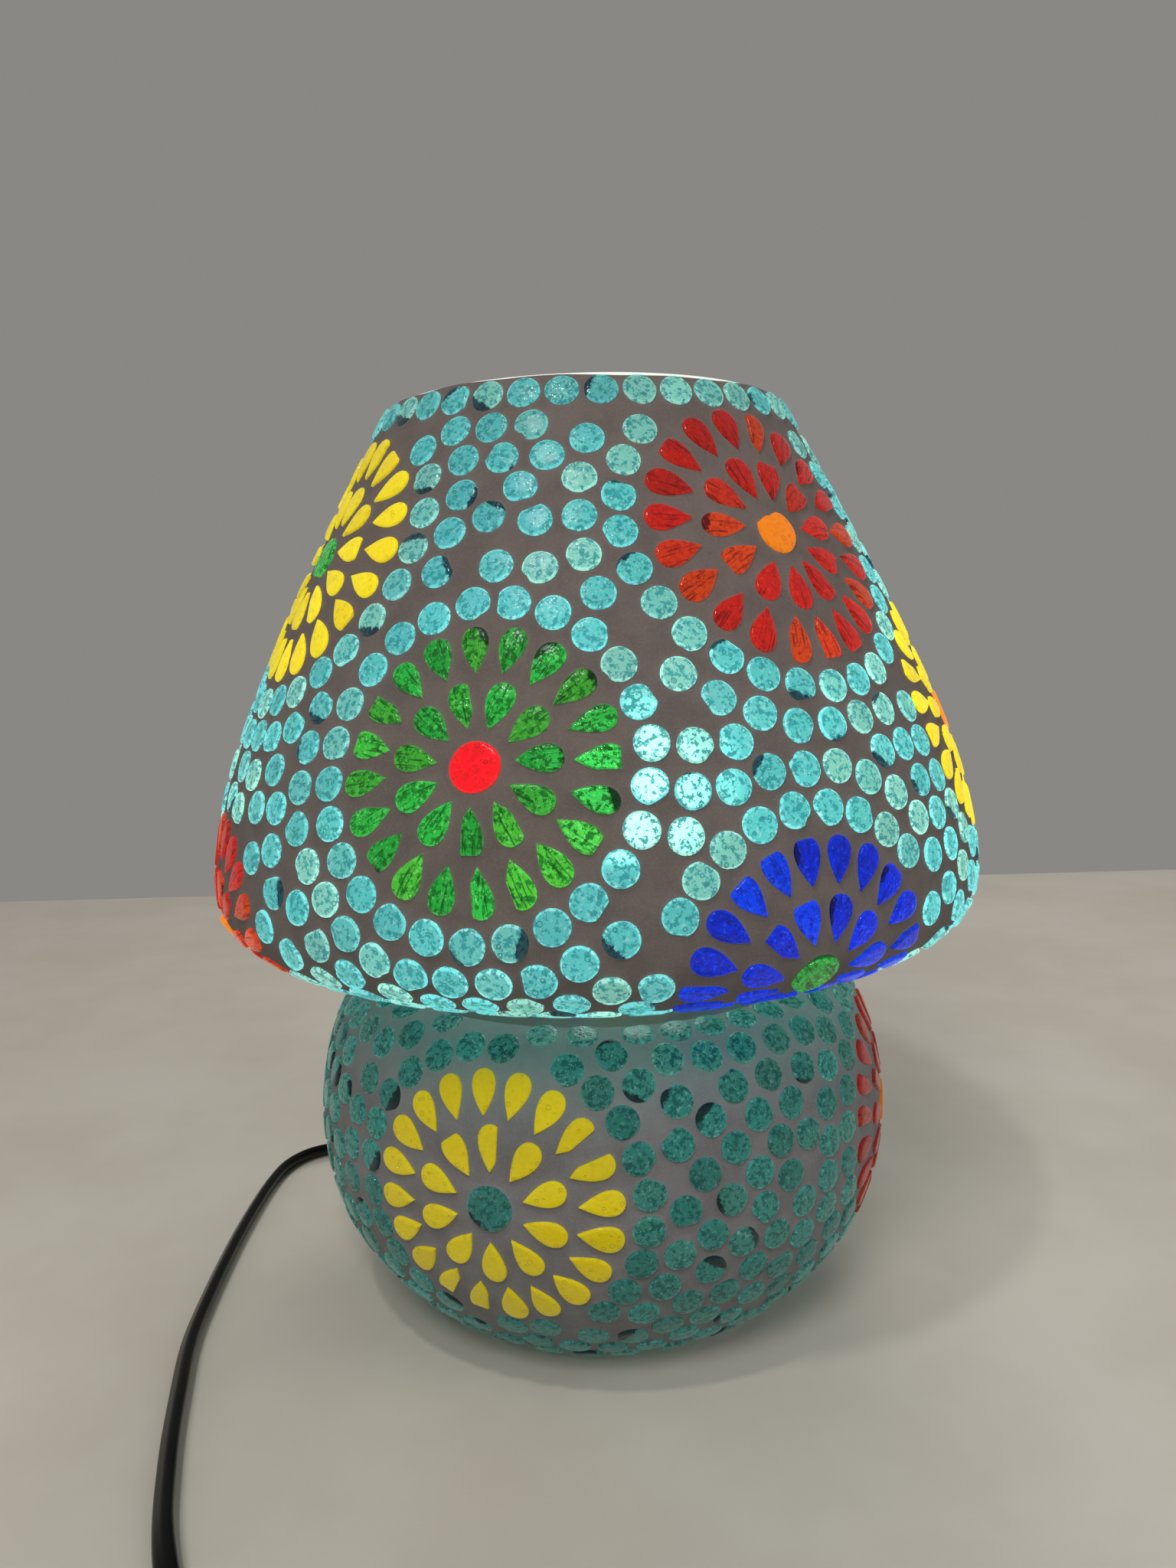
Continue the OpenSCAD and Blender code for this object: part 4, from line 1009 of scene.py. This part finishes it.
# ---------------------------------------------------------------- bulb
def diffuser_material():
    s = Shader("opal_diffuser")
    where = place_mm(s)
    height = s.split(where)[2]
    soft = s.step(height, (BULB[2] - 0.014) * 1000, (BULB[2] + 0.012) * 1000, 0.72, 1.0)
    cloud = s.noise(where, 0.12, 3.0, 0.5)
    return s.finish(
        s.principled(
            Base_Color=(0.93, 0.92, 0.88),
            Roughness=s.step(cloud, 0.3, 0.7, 0.22, 0.36),
            Emission_Color=s.mix(soft, (1.0, 0.90, 0.78), (1.0, 0.985, 0.94)),
            Emission_Strength=s.math("MULTIPLY", soft, 5.5),
            Normal=s.bump(s.noise(where, 1.2, 3.0, 0.6), 0.00008, 0.4),
        )
    )


globe = softened("bulb_diffuser", 0.2 * MM, "bulb_globe")
dress(globe, diffuser_material(), "opal_diffuser", "bulb", "bulb_diffuser")


# ---------------------------------------------------------------- clip, holder, bulb parts
zinc = solid_look("zinc_steel", (0.66, 0.67, 0.69), rough=0.30, wear=0.08, grain=4.0, metal=True, bump=0.05)
brass = solid_look("brass", (0.76, 0.56, 0.24), rough=0.28, wear=0.10, grain=4.0, metal=True, bump=0.05)
cream = solid_look("cream_plastic", (0.78, 0.75, 0.66), rough=0.42, wear=0.05, grain=2.5, bump=0.06)
porcelain = solid_look("porcelain", (0.82, 0.82, 0.78), rough=0.18, wear=0.03, grain=1.2, bump=0.05, coat=0.4)
white_plastic = solid_look("white_plastic", (0.84, 0.84, 0.82), rough=0.36, wear=0.04, grain=2.5, bump=0.05)
phosphor = solid_look("phosphor", (0.90, 0.72, 0.20), rough=0.55, wear=0.05, grain=5.0, bump=0.04)
black_glass = solid_look("black_glass", (0.012, 0.012, 0.014), rough=0.16, wear=0.2, grain=2.0, bump=0.04)
core_sheath = solid_look("core_sheath", (0.15, 0.06, 0.03), rough=0.40, wear=0.08, grain=3.0, bump=0.05)
soft_black = solid_look("soft_black", (0.016, 0.016, 0.017), rough=0.46, wear=0.15, grain=3.0, bump=0.08)
switch_black = solid_look("switch_black", (0.014, 0.014, 0.015), rough=0.34, wear=0.15, grain=5.0, bump=0.1)
rocker_black = solid_look("rocker_black", (0.018, 0.018, 0.020), rough=0.20, wear=0.12, grain=3.0, bump=0.04)

SOFTENED = (
    ("clip_bracket", 0.25, zinc, "zinc_steel", "lamp"),
    ("thread_nipple", 0.08, brass, "brass", "lamp"),
    ("lower_nut", 0.35, brass, "brass", "lamp"),
    ("upper_nut", 0.35, brass, "brass", "lamp"),
    ("holder_cap", 0.5, cream, "cream_plastic", "lamp"),
    ("holder_skirt", 0.4, cream, "cream_plastic", "lamp"),
    ("holder_insulator", 0.3, porcelain, "porcelain", "lamp"),
    ("holder_thread_shell", 0.12, brass, "brass", "lamp"),
    ("holder_centre_contact", 0.1, brass, "brass", "lamp"),
    ("terminal_screws", 0.15, brass, "brass", "lamp"),
    ("core_wires", 0.2, core_sheath, "core_sheath", "lamp"),
    ("bulb_collar", 0.3, white_plastic, "white_plastic", "bulb"),
    ("led_board", 0.2, white_plastic, "white_plastic", "bulb"),
    ("led_chips", 0.12, phosphor, "phosphor", "bulb"),
    ("bulb_screw_cap", 0.12, zinc, "zinc_steel", "bulb"),
    ("bulb_cap_insulator", 0.2, black_glass, "black_glass", "bulb"),
    ("bulb_tip_contact", 0.2, zinc, "zinc_steel", "bulb"),
    ("switch_base", 0.7, switch_black, "switch_black", "lamp"),
    ("switch_cover", 0.7, switch_black, "switch_black", "lamp"),
    ("switch_rocker", 0.5, rocker_black, "rocker_black", "rocker"),
    ("rocker_pin", 0.15, zinc, "zinc_steel", "lamp"),
    ("switch_contacts", 0.1, brass, "brass", "lamp"),
    ("switch_terminals", 0.15, brass, "brass", "lamp"),
    ("switch_screws", 0.15, zinc, "zinc_steel", "lamp"),
    ("plug_body", 1.3, switch_black, "switch_black", "lamp"),
    ("plug_pins", 0.35, brass, "brass", "lamp"),
)
for node, width, look, slot_name, body in SOFTENED:
    dress(softened(node, width * MM), look, slot_name, body, node)


# ---------------------------------------------------------------- grommet, boots and the flex indoors
def turned_along(name, outline, start, axis):
    """A turned piece laid along any axis, from a start point, with the outline in millimetres."""
    piece = lathe(name, [(r * MM, z * MM) for r, z in outline])
    turn = Vector((0, 0, 1)).rotation_difference(Vector(axis)).to_matrix().to_4x4()
    piece.data.transform(Matrix.Translation(Vector(start)) @ turn)
    return shade_by_angle(piece)


def ribbed(first, last, r_first, r_last, ribs, depth):
    """A taper with rounded grooves cut round it, from its wide end to its narrow end."""
    points = []
    for k in range(ribs * 8 + 1):
        u = k / (ribs * 8)
        r = r_first + (r_last - r_first) * u
        groove = max(0.0, math.sin(2 * math.pi * (u * ribs + 0.75)) + 0.2) / 1.2
        points.append((r - depth * groove * (1 - 0.3 * u), first + (last - first) * u))
    return points


bore = FLEX_W / 2 + 0.05
grommet_outline = [(bore, -4.6), (5.7, -4.6), (5.6, -4.3), (4.95, -3.85), (4.58, -3.6), (4.58, 0.1)]
grommet_outline += [(6.9, 0.12), (7.2, 0.4), (7.2, 1.3), (6.95, 1.9), (6.4, 2.3), (5.0, 2.7)]
grommet_outline += ribbed(3.1, 19.4, 4.75, 3.75, 6, 0.55) + [(3.5, 19.9), (3.15, 20.0), (bore, 20.0)]
grommet = turned_along("grommet_boot", grommet_outline, hole_at, hole_axis)
dress(grommet, soft_black, "soft_black", "lamp", "cord_grommet")

plug_low, plug_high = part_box("plug_boot")
boot_start = (plug_low.x, (plug_low.y + plug_high.y) / 2, (plug_low.z + plug_high.z) / 2)
boot_outline = [(bore, 0), (4.1, 0), (4.35, 0.3), (4.35, 1.2)]
boot_outline += ribbed(1.8, 15.2, 4.2, 3.75, 5, 0.5) + [(3.5, 15.8), (bore, 16.0)]
plug_relief = turned_along("plug_relief", boot_outline, boot_start, (1, 0, 0))
dress(plug_relief, soft_black, "soft_black", "lamp", "plug_boot")

inner = node_points("inner_flex")
inner_top = inner[inner[:, 2] > inner[:, 2].max() - 0.0008].mean(0)
indoors = [inner_top / MM, (10, 0, 38), (8, 1, 28), (-2, 8, 22), (-16, 20, 26)]
indoors += [hole_at / MM + reach * hole_axis for reach in (-12, -4.5, 8, 18.5)]
inner_flex = swept("flex_indoors", resampled(smooth_route(indoors, 12), RING_STEP) * MM, flex_outline())
dress(inner_flex, flex.data.materials[0], "flex_black", "lamp", "inner_flex")


# ---------------------------------------------------------------- floor and light
def floor_material():
    s = Shader("floor")
    where = place_mm(s)
    cloud = s.noise(where, 0.012, 4.0, 0.6)
    fine = s.noise(where, 0.9, 3.0, 0.6)
    colour = s.mix(s.step(cloud, 0.3, 0.7), (0.575, 0.532, 0.465), (0.63, 0.592, 0.525))
    return s.finish(
        s.principled(Base_Color=colour, Roughness=0.6, IOR=1.35, Normal=s.bump(fine, 0.0001, 0.3))
    )


MIDDLE_OF_LAMP = Vector((0, 0, 0.11))


def make_stage():
    corners = [(-0.5, -0.4, 0), (0.5, -0.4, 0), (0.5, 0.5, 0), (-0.5, 0.5, 0)]
    floor = add_mesh("floor", corners, [(0, 1, 2, 3)], smooth=False)
    floor.data.materials.append(floor_material())
    world = bpy.data.worlds.new("studio")
    view.world = world
    world.use_nodes = True
    tree = world.node_tree
    tree.nodes["Background"].inputs[0].default_value = (0.625, 0.612, 0.585, 1)
    tree.nodes["Background"].inputs[1].default_value = 0.40
    # name, place, size, power, colour, and whether it shows as a reflection
    lamps = [
        ("key", (-0.22, -0.90, 0.95), 0.42, 5.2, (1.0, 0.975, 0.94), False),
        ("fill", (0.8, -0.5, 0.6), 0.6, 1.8, (0.95, 0.97, 1.0), False),
        ("back", (0.2, 0.7, 0.9), 0.6, 2.4, (1.0, 0.97, 0.94), False),
        ("glint", (-0.20, -0.45, 0.95), 0.06, 1.5, (1.0, 1.0, 0.98), True),
    ]
    for name, place, size, power, colour, mirrored in lamps:
        data = bpy.data.lights.new(name, "AREA")
        data.shape = "DISK"
        data.size = size
        data.energy = power
        data.color = colour
        lamp = bpy.data.objects.new(name, data)
        lamp.location = place
        lamp.visible_glossy = mirrored
        aim = MIDDLE_OF_LAMP - Vector(place)
        lamp.rotation_euler = aim.to_track_quat("-Z", "Y").to_euler()
        view.collection.objects.link(lamp)


make_stage()
